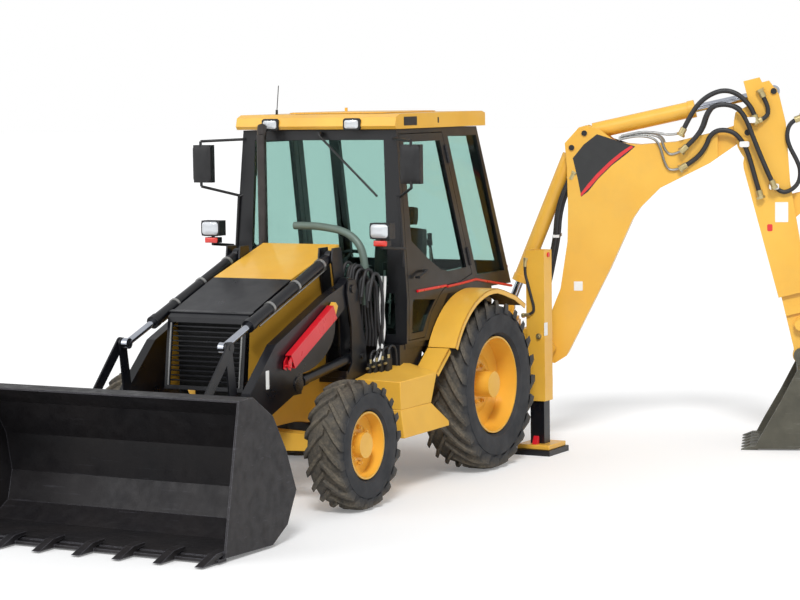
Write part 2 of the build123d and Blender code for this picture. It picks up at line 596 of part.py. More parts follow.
def cylinder_pair(base, eye, x, radii, neck, barrel_length, rod_start, base_pin, half):
    """Barrel and rod between two pins (y, z), in the plane at x; radii are (barrel, rod).

    The rod's inner end lies rod_start from the base, so that it stays in the barrel."""
    barrel_radius, rod_radius = radii
    def run(near, far, radius):
        return bar((x, *towards(base, eye, near)), (x, *towards(base, eye, far)), radius)

    wall = 12
    gland = 60
    head_start = barrel_length - gland
    reach = math.dist(base, eye)
    barrel = disc(base, base_pin + 24, x - half, x + half) + run(10, neck + 10, half * 0.9)
    barrel = barrel + run(neck, barrel_length, barrel_radius)
    barrel = barrel + run(head_start, barrel_length, barrel_radius + 6)
    barrel = barrel - run(neck + 25, head_start, barrel_radius - wall)
    barrel = barrel - run(head_start - 20, barrel_length + 20, rod_radius + FIT)
    barrel = barrel - disc(base, base_pin + FIT, x - 2 * half, x + 2 * half)
    rod = run(rod_start, reach - 20, rod_radius)
    rod = rod + run(rod_start, rod_start + PISTON, barrel_radius - wall - 1)
    rod = rod + disc(eye, rod_radius * 1.5, x - half, x + half)
    return barrel, rod


def loader_cylinders():
    lift_barrel, lift_rod = cylinder_pair(LIFT_BASE, LIFT_EYE, LIFT_X, (39, 22), 90, 825, 125, 24, 24)
    tilt_barrel, tilt_rod = cylinder_pair(TILT_BASE, LINK_TOP, TILT_X, (43, 26), 60, 1250, 341, 24, 24)
    return {"lift_barrels": both(lift_barrel), "lift_rods": both(lift_rod),
            "tilt_barrels": both(tilt_barrel), "tilt_rods": both(tilt_rod)}


def loader_linkage():
    """Fixed pins of the arms, the levers with their upper pins, and the links down to the bucket."""
    pins = both(disc(BUCKET_PIN, 30, 448, 592)) + both(disc(LEVER_PIN, LEVER_BORE, 447, ARM_IN + 55))
    lever = plate([LEVER_PIN, LINK_TOP], [52, 42], *LEVER_X)
    lever = lever - disc(LEVER_PIN, LEVER_BORE + FIT, 400, 600) + disc(LINK_TOP, 22, LEVER_X[0], 487)
    link = plate([LINK_TOP, LINK_LOW], [44, 40], *LINK_X) - disc(LINK_TOP, 22 + FIT, 400, 600)
    return {"loader_pins": pins, "tilt_levers": both(lever), "bucket_links": both(link)}


def loader_bucket():
    outer = [(-4251, 32), (-3666, 20), (-3470, 130), (-3410, 352), (-3470, 640), (-3633, 896),
             (-3879, 1051), (-4048, 1045)]
    inner = [(-4048, 1033), (-3884, 1036), (-3645, 886), (-3484, 634), (-3426, 352), (-3484, 140),
             (-3674, 36), (-4251, 44)]
    shell = yz(outer + inner, -BUCKET_HALF, BUCKET_HALF)
    side = [(-4251, 32), (-3666, 20), (-3470, 130), (-3348, 352), (-3470, 640), (-3633, 896),
            (-3879, 1051), (-4048, 1045)]
    bucket = shell + yz(side, -BUCKET_HALF, -BUCKET_HALF + 16) + yz(side, BUCKET_HALF - 16, BUCKET_HALF)
    bucket = bucket + block(-BUCKET_HALF, BUCKET_HALF, -4330, -4240, 12, 34)
    for k in range(8):
        x = (k - 3.5) * 330
        tooth = yz([(-4500, 12), (-4300, 12), (-4300, 44), (-4200, 60), (-4200, 80), (-4330, 74)],
                   x - 32, x + 32)
        bucket = bucket + tooth
    inside = yz([(-3418, 352), (-3476, 636), (-3638, 890), (-4048, 900), (-4048, 60), (-3674, 60),
                 (-3478, 136)], -2000, 2000)
    for side_sign in (1, -1):
        for x0, x1 in ((449, 465), (566, 582)):
            hinge = plate([BUCKET_PIN, (-3440, 352)], [56, 90], side_sign * x0, side_sign * x1)
            bucket = bucket + (hinge - inside)
        for x0, x1 in EAR_X:
            ear = plate([LINK_LOW, (-3520, 700)], [50, 100], side_sign * x0, side_sign * x1)
            bucket = bucket + (ear - inside)
        bucket = bucket - disc(BUCKET_PIN, 30 + FIT, side_sign * 440, side_sign * 600)
    return {"loader_bucket": [bucket]}


# ---------- hoe ----------
def place_hoe(shape):
    """Turn a hoe piece built straight back to its stored slew about the swing axis."""
    return Location((KING_X, KING_Y, 0), (0, 0, -SLEW)) * shape


def carriage():
    body = block(KING_X - 250, KING_X + 250, 1011, 1060, 500, 1130)
    for z0, z1 in ((560, 620), (1010, 1070)):
        lug = xy([(KING_X - 200, 1060), (KING_X - 105, KING_Y), (KING_X + 105, KING_Y),
                  (KING_X + 200, 1060)], z0, z1)
        lug = lug + Pos(KING_X, KING_Y, (z0 + z1) / 2) * Cylinder(108, z1 - z0)
        body = body + lug
    body = body + block(KING_X - 20, KING_X + 20, 1060, 1220, 620, 1010)
    body = body - Pos(KING_X, KING_Y, 800) * Cylinder(50 + FIT, 900)
    return {"carriage": [body]}


def swing_post():
    post = Pos(0, 0, 815) * Cylinder(50, 560) + Pos(0, 0, 815) * Cylinder(95, 376)
    post = post + yz([(-60, 700), (363, 720), (430, 834), (363, 940), (-60, 960)], 155, 185)
    post = post + yz([(-60, 700), (363, 720), (430, 834), (363, 940), (-60, 960)], -185, -155)
    post = post + block(-185, 185, -70, 90, 640, 990)
    post = post + disc(BOOM_FOOT, 40, -200, 200)
    post = post + Pos(0, 0, 1088) * Cylinder(95, 24)
    for x in (44, -68):
        ear = plate([BOOM_ROD_EYE, (BOOM_ROD_EYE[0], 1110)], [48, 34], x, x + 24)
        post = post + ear
    post = post + disc(BOOM_ROD_EYE, 28, 44, 78) + disc(BOOM_ROD_EYE, 28, -78, -44)
    return {"swing_post": [place_hoe(post)]}


BOOM_LINE = [(413, 700), (517, 765), (899, 1518), (1093, 1944), (1158, 2040), (1328, 2208),
             (1750, 2416), (1990, 2580), (2060, 2640), (2070, 2740), (2002, 2745), (1793, 2680),
             (1456, 2600), (1161, 2581),
             (960, 2600), (822, 2712), (705, 2752), (640, 2735), (516, 2600), (533, 2400), (540, 2050),
             (533, 1755), (469, 1347), (260, 834), (300, 730)]


def boom():
    body = yz(BOOM_LINE, -BOOM_HALF, BOOM_HALF)
    body = body + disc(BOOM_FOOT, 105, -BOOM_HALF, BOOM_HALF)
    body = body + disc(STICK_PIN, 85, -95, 95)
    slot = yz([(440, 2690), (440, 2020), (560, 2020), (760, 2560), (1000, 2560), (1000, 2850), (640, 2850)],
              -82, 82)
    tip = yz([(BOOM_NECK, 2300), (2300, 2300), (2300, 2900), (BOOM_NECK, 2900)], 95, 400)
    body = body - slot - tip - mirror(tip, Plane.YZ)
    for centre, radius in ((BOOM_CYL_BASE, 28), (STICK_CYL_BASE, 28)):
        body = body + disc(centre, radius, -BOOM_HALF - 8, BOOM_HALF + 8)
    body = body - disc(BOOM_FOOT, 40 + FIT, -400, 400) - disc(STICK_PIN, 36 + FIT, -400, 400)
    return {"boom": [place_hoe(body)]}


def stick_frame(along, across):
    """Point (r, z) at a distance down the stick's axis and to its outer side."""
    length = math.dist(STICK_PIN, HOE_PIN)
    dr, dz = (HOE_PIN[0] - STICK_PIN[0]) / length, (HOE_PIN[1] - STICK_PIN[1]) / length
    return (STICK_PIN[0] + along * dr - across * dz, STICK_PIN[1] + along * dz + across * dr)


def stick_prism(corners, x0, x1):
    """Prism of an outline given as (along, across) in the stick's own frame."""
    return yz([stick_frame(*c) for c in corners], x0, x1)


STICK_HALF = 130
STICK_END = 1430                    # where the outer stick ends, from the stick's pin
INNER_HALF = 88


def stick():
    outer = stick_prism([(-430, 204), (-384, 214), (-384, 276), (-250, 330), (0, 330), (500, 250),
                         (STICK_END, 190), (STICK_END, -70), (520, -95), (290, -102), (245, -96),
                         (200, -78), (170, -90), (100, -110), (-60, -105), (-120, -90), (-190, -60),
                         (-225, 70), (-430, 66)], -STICK_HALF, STICK_HALF)
    channel = stick_prism([(150, -52), (150, 172), (1600, 172), (1600, -52)],
                          -INNER_HALF - GAP, INNER_HALF + GAP)
    outer = outer - channel
    back_slot = stick_prism([(560, 100), (560, 400), (1600, 400), (1600, 100)], -84, 84)
    outer = outer - back_slot
    nose_slot = stick_prism([(-260, -200), (270, -200), (270, -44), (172, -44), (172, 112),
                             (-140, 112), (-260, 84)], -102, 102)
    outer = outer - nose_slot
    eye_slot = stick_prism([(-700, -300), (-150, -300), (-150, 600), (-700, 600)], -44, 44)
    outer = outer - eye_slot
    outer = outer + disc(STICK_ROD_EYE, 30, 44, STICK_HALF + 10)
    outer = outer + disc(STICK_ROD_EYE, 30, -STICK_HALF - 10, -44)
    outer = outer + disc(STICK_PIN, 36, -STICK_HALF - 10, STICK_HALF + 10)
    return {"stick": [place_hoe(outer)]}


def stick_inner():
    body = stick_prism([(190, -46), (190, 166), (1600, 166), (1600, -46)], -INNER_HALF, INNER_HALF)
    body = body + stick_prism([(1500, -46), (1500, 166), (1720, 130), (1900, 90), (1960, 60), (1960, -60),
                               (1880, -46)], -60, 60)
    body = body + disc(HOE_PIN, 70, -60, 60) + disc(HOE_LEVER_PIN, 62, -88, 88)
    body = body - disc(HOE_PIN, 32 + FIT, -200, 200) - disc(HOE_LEVER_PIN, 30 + FIT, -200, 200)
    base = HOE_CYL_BASE
    bracket = [stick_frame(600, 150), stick_frame(840, 150), (base[0] + 40, base[1] - 40),
               (base[0] + 40, base[1] + 40), (base[0] - 40, base[1] + 40)]
    body = body + yz(bracket, 58, 76) + yz(bracket, -76, -58) + disc(base, 24, -82, 82)
    return {"stick_inner": [place_hoe(body)]}


def hoe_points():
    """Top pin of the bucket link and its pin on the bucket."""
    angle = math.radians(HOE_LEVER_ANGLE)
    step = (HOE_LEVER_REACH * math.cos(angle), HOE_LEVER_REACH * math.sin(angle))
    top = (HOE_LEVER_PIN[0] + step[0], HOE_LEVER_PIN[1] + step[1])
    low = (HOE_PIN[0] + step[0], HOE_PIN[1] + step[1])
    return top, low


def hoe_linkage():
    top, low = hoe_points()
    lever = disc(HOE_LEVER_PIN, 30, -136, 136)
    links = []
    for side in (1, -1):
        arm = plate([HOE_LEVER_PIN, top], [50, 42], side * 120, side * 136)
        stub = disc(top, 24, side * 98, side * 140)
        lever = lever + arm + stub
        link = plate([top, low], [42, 44], side * 98, side * 114)
        link = link - disc(top, 24 + FIT, -200, 200) - disc(low, 28 + FIT, -200, 200)
        links.append(place_hoe(link))
    return {"bucket_lever": [place_hoe(lever)], "bucket_link": links}


def hoe_cylinders():
    top = hoe_points()[0]
    boom_barrel, boom_rod = cylinder_pair(BOOM_CYL_BASE, BOOM_ROD_EYE, 0, (66, 34), 70, 1255, 400, 28, 38)
    stick_barrel, stick_rod = cylinder_pair(STICK_CYL_BASE, STICK_ROD_EYE, 0, (70, 34), 70, 960, 626, 28, 38)
    tip_barrel, tip_rod = cylinder_pair(HOE_CYL_BASE, top, 0, (50, 27), 60, 780, 380, 24, 30)
    nodes = {"boom_barrel": boom_barrel, "boom_rod": boom_rod, "stick_barrel": stick_barrel,
             "stick_rod": stick_rod, "bucket_barrel": tip_barrel, "bucket_rod": tip_rod}
    return {name: [place_hoe(shape)] for name, shape in nodes.items()}


def hoe_bucket():
    low = hoe_points()[1]
    outer = [(2120, 12), (2480, 12), (2640, 60), (2790, 200), (2850, 400), (2820, 560), (2740, 640),
             (2560, 668), (2486, 690)]
    inner = [(2480, 676), (2558, 652), (2732, 625), (2806, 552), (2834, 400), (2776, 210), (2630, 76),
             (2475, 28), (2120, 28)]
    shell = yz(outer + inner, -HOE_BUCKET_HALF, HOE_BUCKET_HALF)
    side = [(2120, 12), (2480, 12), (2640, 60), (2790, 200), (2850, 400), (2820, 560), (2740, 640),
            (2560, 668), (2486, 690), (2344, 415), (2203, 168)]
    for x0 in (-HOE_BUCKET_HALF, HOE_BUCKET_HALF - 18):
        shell = shell + yz(side, x0, x0 + 18)
    shell = shell + block(-HOE_BUCKET_HALF, HOE_BUCKET_HALF, 2090, 2160, 8, 34)
    for k in range(6):
        x = (k - 2.5) * 168
        tooth = yz([(2013, 5), (2150, 4), (2150, 42), (2100, 40)], x - 30, x + 30)
        shell = shell + tooth
    for x0 in (-88, 66):
        ear = plate([HOE_PIN, low], [62, 52], x0, x0 + 22)
        ear = ear + yz([(2470, 720), (2500, 760), (2740, 740), (2800, 640), (2740, 630), (2500, 665)],
                       x0, x0 + 22)
        shell = shell + ear
    shell = shell + disc(HOE_PIN, 32, -92, 92)
    for side in (1, -1):
        shell = shell + disc(low, 28, side * 66, side * 118)
    return {"hoe_bucket": [place_hoe(shell)]}


# ---------- export ----------
def build():
    nodes = {}
    makers = (main_frame, axles, wheels, engine, radiator, hood, loader_tower, exhaust, cab, roof, seat,
              cab_controls, fenders, side_boxes, mirrors_and_lamps, rear_frame, stabiliser_legs,
              loader_arms, service_strut, loader_cylinders, loader_linkage, loader_bucket,
              carriage, swing_post, boom, stick, stick_inner, hoe_linkage, hoe_cylinders, hoe_bucket)
    for maker in makers:
        nodes.update(maker())
    return nodes


if __name__ == "__main__":
    os.makedirs("parts", exist_ok=True)
    shift = Pos(-BOX_MID_X, -BOX_MID_Y, 0)
    for name, solids in build().items():
        moved = [shift * solid for solid in solids]
        whole = moved[0] if len(moved) == 1 else Compound(children=moved)
        export_step(whole, f"parts/{name}.step")
        print(name, len(moved))
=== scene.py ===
"""Backhoe loader: finishes, tyres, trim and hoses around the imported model."""

import json
import math
import random

import bmesh
import bpy
from mathutils import Matrix, Vector


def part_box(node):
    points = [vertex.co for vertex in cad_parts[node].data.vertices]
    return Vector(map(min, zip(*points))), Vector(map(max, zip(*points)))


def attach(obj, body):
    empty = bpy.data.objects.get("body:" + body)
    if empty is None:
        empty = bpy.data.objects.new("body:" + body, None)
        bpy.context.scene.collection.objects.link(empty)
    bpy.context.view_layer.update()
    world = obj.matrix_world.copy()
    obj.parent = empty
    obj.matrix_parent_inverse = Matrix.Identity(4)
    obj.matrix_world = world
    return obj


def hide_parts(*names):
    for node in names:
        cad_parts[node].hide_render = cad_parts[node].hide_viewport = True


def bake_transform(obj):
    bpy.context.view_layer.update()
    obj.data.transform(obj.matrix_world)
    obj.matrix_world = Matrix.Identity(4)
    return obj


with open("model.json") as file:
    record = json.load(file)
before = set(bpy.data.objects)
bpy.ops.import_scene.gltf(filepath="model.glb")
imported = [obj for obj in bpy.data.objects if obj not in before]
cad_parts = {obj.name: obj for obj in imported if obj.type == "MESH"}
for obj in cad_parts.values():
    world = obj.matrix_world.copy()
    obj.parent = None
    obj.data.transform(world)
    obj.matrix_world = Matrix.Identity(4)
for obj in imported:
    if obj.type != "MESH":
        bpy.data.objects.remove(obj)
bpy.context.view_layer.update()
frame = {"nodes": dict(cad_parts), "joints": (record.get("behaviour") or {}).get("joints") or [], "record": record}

JOINTS = {joint["name"]: joint for joint in frame["joints"]}
NODES = frame["nodes"]
SIDES = (("left", 1), ("right", -1))


# ---------- places, in metres ----------
def middle(node):
    """Middle of a node's box."""
    low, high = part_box(node)
    return (low + high) / 2


REAR_LEFT, REAR_RIGHT = middle("rear_tyre_left"), middle("rear_tyre_right")
ORIGIN = Vector(((REAR_LEFT.x + REAR_RIGHT.x) / 2, REAR_LEFT.y, 0))
SWING = Vector(JOINTS["swing"]["pos_m"])
ACROSS = Vector(JOINTS["boom_lift"]["axis"])
OUTWARD = Vector((0, 0, 1)).cross(ACROSS)


def at(x, y, z):
    """Point given from the rear axle's middle on the ground: x left, y rearward, z up."""
    return ORIGIN + Vector((x, y, z))


def hoe(r, z, lateral=0.0):
    """Point in the hoe's own plane: r outward from the swing axis, z up, lateral across."""
    return Vector((SWING.x, SWING.y, 0)) + OUTWARD * r + ACROSS * lateral + Vector((0, 0, z))


HOE_FRAME = Matrix.Translation(hoe(0, 0)) @ Matrix(
    ((ACROSS.x, OUTWARD.x, 0, 0), (ACROSS.y, OUTWARD.y, 0, 0), (0, 0, 1, 0), (0, 0, 0, 1)))
MACHINE_FRAME = Matrix.Translation(ORIGIN)


# ---------- materials ----------
def linear(*rgb):
    """Linear colour from 0-255 display values."""
    values = [c / 255 for c in rgb]
    return tuple(c / 12.92 if c <= 0.04045 else ((c + 0.055) / 1.055) ** 2.4 for c in values) + (1,)


class Shader:
    """A small helper that keeps a material's nodes and links readable."""

    def __init__(self, name):
        self.material = bpy.data.materials.new(name)
        self.material.use_nodes = True
        self.tree = self.material.node_tree
        self.main = self.tree.nodes["Principled BSDF"]

    def node(self, kind, **settings):
        made = self.tree.nodes.new("ShaderNode" + kind)
        for key, value in settings.items():
            if key in made.inputs:
                made.inputs[key].default_value = value
            else:
                setattr(made, key, value)
        return made

    def link(self, source, target):
        self.tree.links.new(source, target)

    def place(self):
        """Object coordinates, the same in every view and pose."""
        return self.node("TexCoord").outputs["Object"]

    def noise(self, scale, detail=4, rough=0.5, stretch=None):
        vector = self.place()
        if stretch:
            mapping = self.node("Mapping", Scale=stretch)
            self.link(vector, mapping.inputs["Vector"])
            vector = mapping.outputs["Vector"]
        noise = self.node("TexNoise", Scale=scale, Detail=detail, Roughness=rough)
        self.link(vector, noise.inputs["Vector"])
        return noise.outputs["Fac"]

    def ramp(self, source, low, high, dark, light):
        """Source remapped so that low gives dark and high gives light, as numbers."""
        ranged = self.node("MapRange")
        ranged.inputs["From Min"].default_value = low
        ranged.inputs["From Max"].default_value = high
        ranged.inputs["To Min"].default_value = dark
        ranged.inputs["To Max"].default_value = light
        self.link(source, ranged.inputs["Value"])
        return ranged.outputs["Result"]

    def mix(self, factor, first, second):
        """Colour mixed by a factor; each colour is a value or a socket."""
        mixed = self.node("Mix", data_type="RGBA")
        self.link(factor, mixed.inputs["Factor"])
        for socket, colour in ((mixed.inputs[6], first), (mixed.inputs[7], second)):
            if isinstance(colour, tuple):
                socket.default_value = colour
            else:
                self.link(colour, socket)
        return mixed.outputs[2]

    def edges(self, radius):
        """1 along convex and concave edges within a radius, 0 on open faces."""
        bevel = self.node("Bevel", samples=6, Radius=radius)
        flat = self.node("NewGeometry")
        dot = self.node("VectorMath", operation="DOT_PRODUCT")
        self.link(bevel.outputs["Normal"], dot.inputs[0])
        self.link(flat.outputs["Normal"], dot.inputs[1])
        return self.ramp(dot.outputs["Value"], 0.98, 0.80, 0.0, 1.0)

    def surface(self, bump_source=None, strength=0.1, distance=0.002, edge_radius=0.0):
        """Bump and softened edges, joined to the shader's normal."""
        normal = None
        if edge_radius:
            normal = self.node("Bevel", samples=4, Radius=edge_radius).outputs["Normal"]
        if bump_source is not None:
            bump = self.node("Bump", Strength=strength, Distance=distance)
            self.link(bump_source, bump.inputs["Height"])
            if normal is not None:
                self.link(normal, bump.inputs["Normal"])
            normal = bump.outputs["Normal"]
        self.link(normal, self.main.inputs["Normal"])

    def set(self, **values):
        for key, value in values.items():
            self.main.inputs[key.replace("_", " ")].default_value = value


def paint(name, colour, shade, rough=0.35, coat=0.3, dust=None, dust_amount=0.0, edge=0.004):
    """Sprayed enamel: slight colour drift, uneven gloss, a fine orange peel and soft edges."""
    s = Shader(name)
    drift = s.ramp(s.noise(1.7, 5), 0.35, 0.7, 0.0, 1.0)
    colour_out = s.mix(drift, colour, shade)
    if dust:
        film = s.ramp(s.noise(3.5, 8, 0.65), 0.48, 0.75, 0.0, dust_amount)
        colour_out = s.mix(film, colour_out, dust)
    s.link(colour_out, s.main.inputs["Base Color"])
    s.link(s.ramp(s.noise(6, 3), 0.3, 0.7, rough - 0.06, rough + 0.1), s.main.inputs["Roughness"])
    s.set(Coat_Weight=coat, Coat_Roughness=0.12)
    s.surface(s.noise(260, 2), 0.05, 0.0006, edge)
    return s.material


def worn_steel(name, colour, shade, bright, rough, edge_radius, wear_and_highlight):
    """Dark painted or bare plate with bright edges, partly rubbed wear and partly a painted highlight, scratches
    and stains.
    """
    s = Shader(name)
    stains = s.ramp(s.noise(2.2, 8, 0.62), 0.38, 0.68, 0.0, 1.0)
    base = s.mix(stains, colour, shade)
    scratches = s.ramp(s.noise(9, 10, 0.7, (0.25, 1.0, 5.0)), 0.60, 0.74, 0.0, 0.45)
    base = s.mix(scratches, base, bright)
    # Edges lightened in colour: partly rubbed wear, partly a painted highlight.
    broken = s.ramp(s.noise(30, 6, 0.7), 0.35, 0.6, 0.2, wear_and_highlight)
    worn_and_lit_edges = s.node("Math", operation="MULTIPLY")
    s.link(s.edges(edge_radius), worn_and_lit_edges.inputs[0])
    s.link(broken, worn_and_lit_edges.inputs[1])
    s.link(s.mix(worn_and_lit_edges.outputs["Value"], base, bright), s.main.inputs["Base Color"])
    s.link(s.ramp(s.noise(12, 6), 0.3, 0.7, rough - 0.1, rough + 0.15), s.main.inputs["Roughness"])
    s.set(Metallic=0.25)
    s.surface(s.noise(70, 8, 0.7), 0.22, 0.0015, 0.004)
    return s.material


def plain(name, colour, rough, metallic=0.0, bump_scale=120, bump=0.08, edge=0.002, coat=0.0):
    """Moulded, cast or machined stock with a little tone and grain."""
    s = Shader(name)
    tone = s.ramp(s.noise(14, 5), 0.3, 0.7, 0.0, 0.35)
    lighter = tuple(min(1.0, c * 1.5 + 0.01) for c in colour[:3]) + (1,)
    s.link(s.mix(tone, colour, lighter), s.main.inputs["Base Color"])
    s.link(s.ramp(s.noise(22, 4), 0.3, 0.7, rough - 0.05, rough + 0.07), s.main.inputs["Roughness"])
    s.set(Metallic=metallic, Coat_Weight=coat)
    s.surface(s.noise(bump_scale, 3), bump, 0.0008, edge)
    return s.material


def rubber(name):
    """Tyre rubber: dark walls, and brown dried earth on the tread by the dust attribute."""
    s = Shader(name)
    attribute = s.node("Attribute", attribute_name="dust")
    patch = s.ramp(s.noise(16, 8, 0.7), 0.30, 0.62, 0.25, 1.0)
    amount = s.node("Math", operation="MULTIPLY")
    s.link(attribute.outputs["Fac"], amount.inputs[0])
    s.link(patch, amount.inputs[1])
    earth = s.mix(s.ramp(s.noise(60, 4), 0.3, 0.7, 0.0, 1.0), linear(122, 112, 94), linear(86, 79, 68))
    wall = s.mix(s.ramp(s.noise(5, 6), 0.35, 0.7, 0.0, 1.0), linear(38, 40, 44), linear(54, 55, 58))
    s.link(s.mix(amount.outputs["Value"], wall, earth), s.main.inputs["Base Color"])
    s.link(s.ramp(s.noise(9, 4), 0.3, 0.7, 0.62, 0.82), s.main.inputs["Roughness"])
    s.surface(s.noise(130, 6, 0.65), 0.3, 0.0012)
    return s.material


def glazing(name):
    """Green-tinted safety glass that shows what is behind it."""
    s = Shader(name)
    s.set(Base_Color=linear(203, 228, 222), Roughness=0.02, IOR=1.12, Transmission_Weight=1.0,
          Specular_IOR_Level=0.6)
    return s.material


def lamp_glass(name, colour):
    """Lens with fine flutes over a bright reflector."""
    s = Shader(name)
    flutes = s.node("TexWave", Scale=90, Distortion=0.0, bands_direction="X")
    s.link(s.place(), flutes.inputs["Vector"])
    tone = s.ramp(flutes.outputs["Fac"], 0.0, 1.0, 0.0, 0.5)
    s.link(s.mix(tone, colour, linear(250, 250, 250)), s.main.inputs["Base Color"])
    s.set(Roughness=0.12, Metallic=0.35, Coat_Weight=1.0, Coat_Roughness=0.03)
    s.surface(flutes.outputs["Fac"], 0.4, 0.002)
    return s.material


def cloth(name, colour, shade):
    """Woven seat fabric."""
    s = Shader(name)
    weave = s.node("TexWave", Scale=140, Distortion=1.0, bands_direction="X")
    cross = s.node("TexWave", Scale=140, Distortion=1.0, bands_direction="Z")
    both = s.node("Math", operation="MULTIPLY")
    for wave, socket in ((weave, both.inputs[0]), (cross, both.inputs[1])):
        s.link(s.place(), wave.inputs["Vector"])
        s.link(wave.outputs["Fac"], socket)
    s.link(s.mix(both.outputs["Value"], colour, shade), s.main.inputs["Base Color"])
    s.set(Roughness=0.9, Sheen_Weight=0.3)
    s.surface(both.outputs["Value"], 0.35, 0.0008)
    return s.material


def finishes(rows):
    """Materials by name: rows of a name, its maker and what that takes, with colours as 0-255 values."""
    return {name: make(name, *(linear(*value) if isinstance(value, tuple) else value for value in values))
            for name, make, *values in rows}


FINISH = finishes((
    ("yellow_paint", paint, (242, 188, 72), (234, 175, 58), 0.38, 0.35, (196, 160, 92), 0.16),
    ("black_paint", paint, (14, 15, 22), (9, 10, 15), 0.32, 0.2, (60, 57, 54), 0.06),
    ("cab_black", paint, (16, 17, 20), (23, 24, 28), 0.36, 0.2, (60, 58, 56), 0.06),
    ("red_paint", paint, (226, 24, 40), (205, 16, 32), 0.3, 0.6),
    ("bucket_dark", worn_steel, (44, 41, 42), (34, 33, 36), (104, 104, 112), 0.45, 0.012, 0.8),
    ("bucket_olive", worn_steel, (96, 94, 82), (64, 62, 54), (150, 150, 144), 0.5, 0.01, 0.6),
    ("tyre", rubber),
    ("glass", glazing),
    ("chrome_rod", plain, (196, 200, 210), 0.12, 1.0, 400, 0.01, 0.0015),
    ("steel_pin", plain, (92, 92, 96), 0.4, 0.8),
    ("engine_iron", plain, (46, 45, 44), 0.6, 0.4, 60, 0.3),
    ("seat_fabric", cloth, (52, 50, 50), (34, 33, 34)),
    ("grey_plastic", plain, (50, 50, 52), 0.55, 0.0, 300, 0.15),
    ("black_plastic", plain, (26, 26, 28), 0.45, 0.0, 300, 0.12),
))
EXTRA = finishes((
    ("lens", lamp_glass, (214, 220, 226)),
    ("lens_red", plain, (212, 44, 30), 0.18, 0.0, 200, 0.1, 0.002, 1.0),
    ("mirror_glass", plain, (200, 206, 212), 0.03, 1.0, 20, 0.0, 0.0015),
    ("hose", plain, (38, 38, 40), 0.5, 0.0, 500, 0.2),
    ("hose_green", plain, (96, 112, 104), 0.45, 0.1, 300, 0.1),
    ("line_steel", plain, (168, 168, 166), 0.3, 0.9),
    ("fitting", plain, (196, 180, 132), 0.35, 0.8),
    ("band_white", plain, (228, 228, 226), 0.5),
    ("blank_plate", plain, (236, 236, 232), 0.45),
    ("decal_black", plain, (30, 31, 32), 0.35, 0.0, 300, 0.02, 0.001, 0.4),
    ("decal_red", plain, (214, 40, 44), 0.35, 0.0, 300, 0.02, 0.001, 0.4),
    # near-black radiator core: a painted shade behind the grille
    ("core_black", plain, (16, 16, 17), 0.7, 0.0, 60, 0.3),
    ("exhaust_steel", plain, (74, 70, 68), 0.32, 0.8, 90, 0.1),
))
MATERIALS = {**FINISH, **EXTRA}         # only those of FINISH are slots of the record
# The radiator's core is near black, as a painted shade behind the grille.
NODE_FINISH = {"exhaust_stack": "exhaust_steel", "radiator": "core_black"}
for row in frame["record"]["subparts"]:
    chosen = NODE_FINISH.get(row["node"], row["material_slot"])
    data = NODES[row["node"]].data
    data.materials.clear()
    data.materials.append(MATERIALS[chosen])


# ---------- making pieces ----------
def put(name, bm, finish, body, place=MACHINE_FRAME, smooth=True):
    """A finished piece from a bmesh given in its own frame."""
    bmesh.ops.recalc_face_normals(bm, faces=bm.faces)
    bm.transform(place)
    data = bpy.data.meshes.new(name)
    bm.to_mesh(data)
    bm.free()
    data.materials.append(MATERIALS[finish])
    if smooth:
        data.shade_smooth()
        data.set_sharp_from_angle(angle=math.radians(35))
    piece = bpy.data.objects.new(name, data)
    bpy.context.scene.collection.objects.link(piece)
    if body:
        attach(piece, body)
    return piece


def add_box(bm, low, high, turn=None):
    """Box between two corners; turn is a matrix about its middle."""
    low, high = Vector(low), Vector(high)
    size = high - low
    matrix = Matrix.Translation((low + high) / 2) @ (turn or Matrix()) @ Matrix.Diagonal((*size, 1))
    return bmesh.ops.create_cube(bm, size=1, matrix=matrix)["verts"]


def add_rod(bm, start, end, radius, sides=20):
    """Round bar between two points."""
    start, end = Vector(start), Vector(end)
    axis = end - start
    matrix = Matrix.Translation((start + end) / 2) @ axis.to_track_quat("Z", "Y").to_matrix().to_4x4()
    bmesh.ops.create_cone(bm, cap_ends=True, segments=sides, radius1=radius, radius2=radius,
                          depth=axis.length, matrix=matrix)


def bridge(bm, a, b):
    """Faces between two rings of as many vertices."""
    for k in range(len(a)):
        j = (k + 1) % len(a)
        bm.faces.new((a[k], a[j], b[j], b[k]))


def skin(bm, rings):
    """Closed skin over rings of as many vertices."""
    for a, b in zip(rings, rings[1:]):
        bridge(bm, a, b)
    bm.faces.new(rings[0][::-1])
    bm.faces.new(rings[-1])


def add_prism(bm, outline, x0, x1):
    """Outline in (y, z) extruded between x0 and x1."""
    near = [bm.verts.new((x0, y, z)) for y, z in outline]
    far = [bm.verts.new((x1, y, z)) for y, z in outline]
    bm.faces.new(near)
    bm.faces.new(far)
    bridge(bm, near, far)


def add_strip(bm, path, thick, x0, x1):
    """Bent plate along a rearward (y, z) path, with its thickness on the lower side."""
    rows = []
    for k, (y, z) in enumerate(path):
        ahead, behind = path[min(k + 1, len(path) - 1)], path[max(k - 1, 0)]
        run = math.hypot(ahead[0] - behind[0], ahead[1] - behind[1])
        under = (y + thick * (ahead[1] - behind[1]) / run, z - thick * (ahead[0] - behind[0]) / run)
        rows.append([bm.verts.new((x0, y, z)), bm.verts.new((x1, y, z)),
                     bm.verts.new((x1, *under)), bm.verts.new((x0, *under))])
    skin(bm, rows)


def add_loft(bm, sections):
    """Closed form through sections of (x, points), each a ring of as many (y, z) points."""
    skin(bm, [[bm.verts.new((x, y, z)) for y, z in points] for x, points in sections])


ROUND = 96              # segments of a tyre


def add_lathe(bm, profile):
    """Closed profile of (x, radius) turned about the X axis."""
    rings = []
    for k in range(ROUND):
        angle = 2 * math.pi * k / ROUND
        rings.append([bm.verts.new((x, r * math.cos(angle), r * math.sin(angle))) for x, r in profile])
    for k in range(ROUND):
        bridge(bm, rings[k], rings[(k + 1) % ROUND])


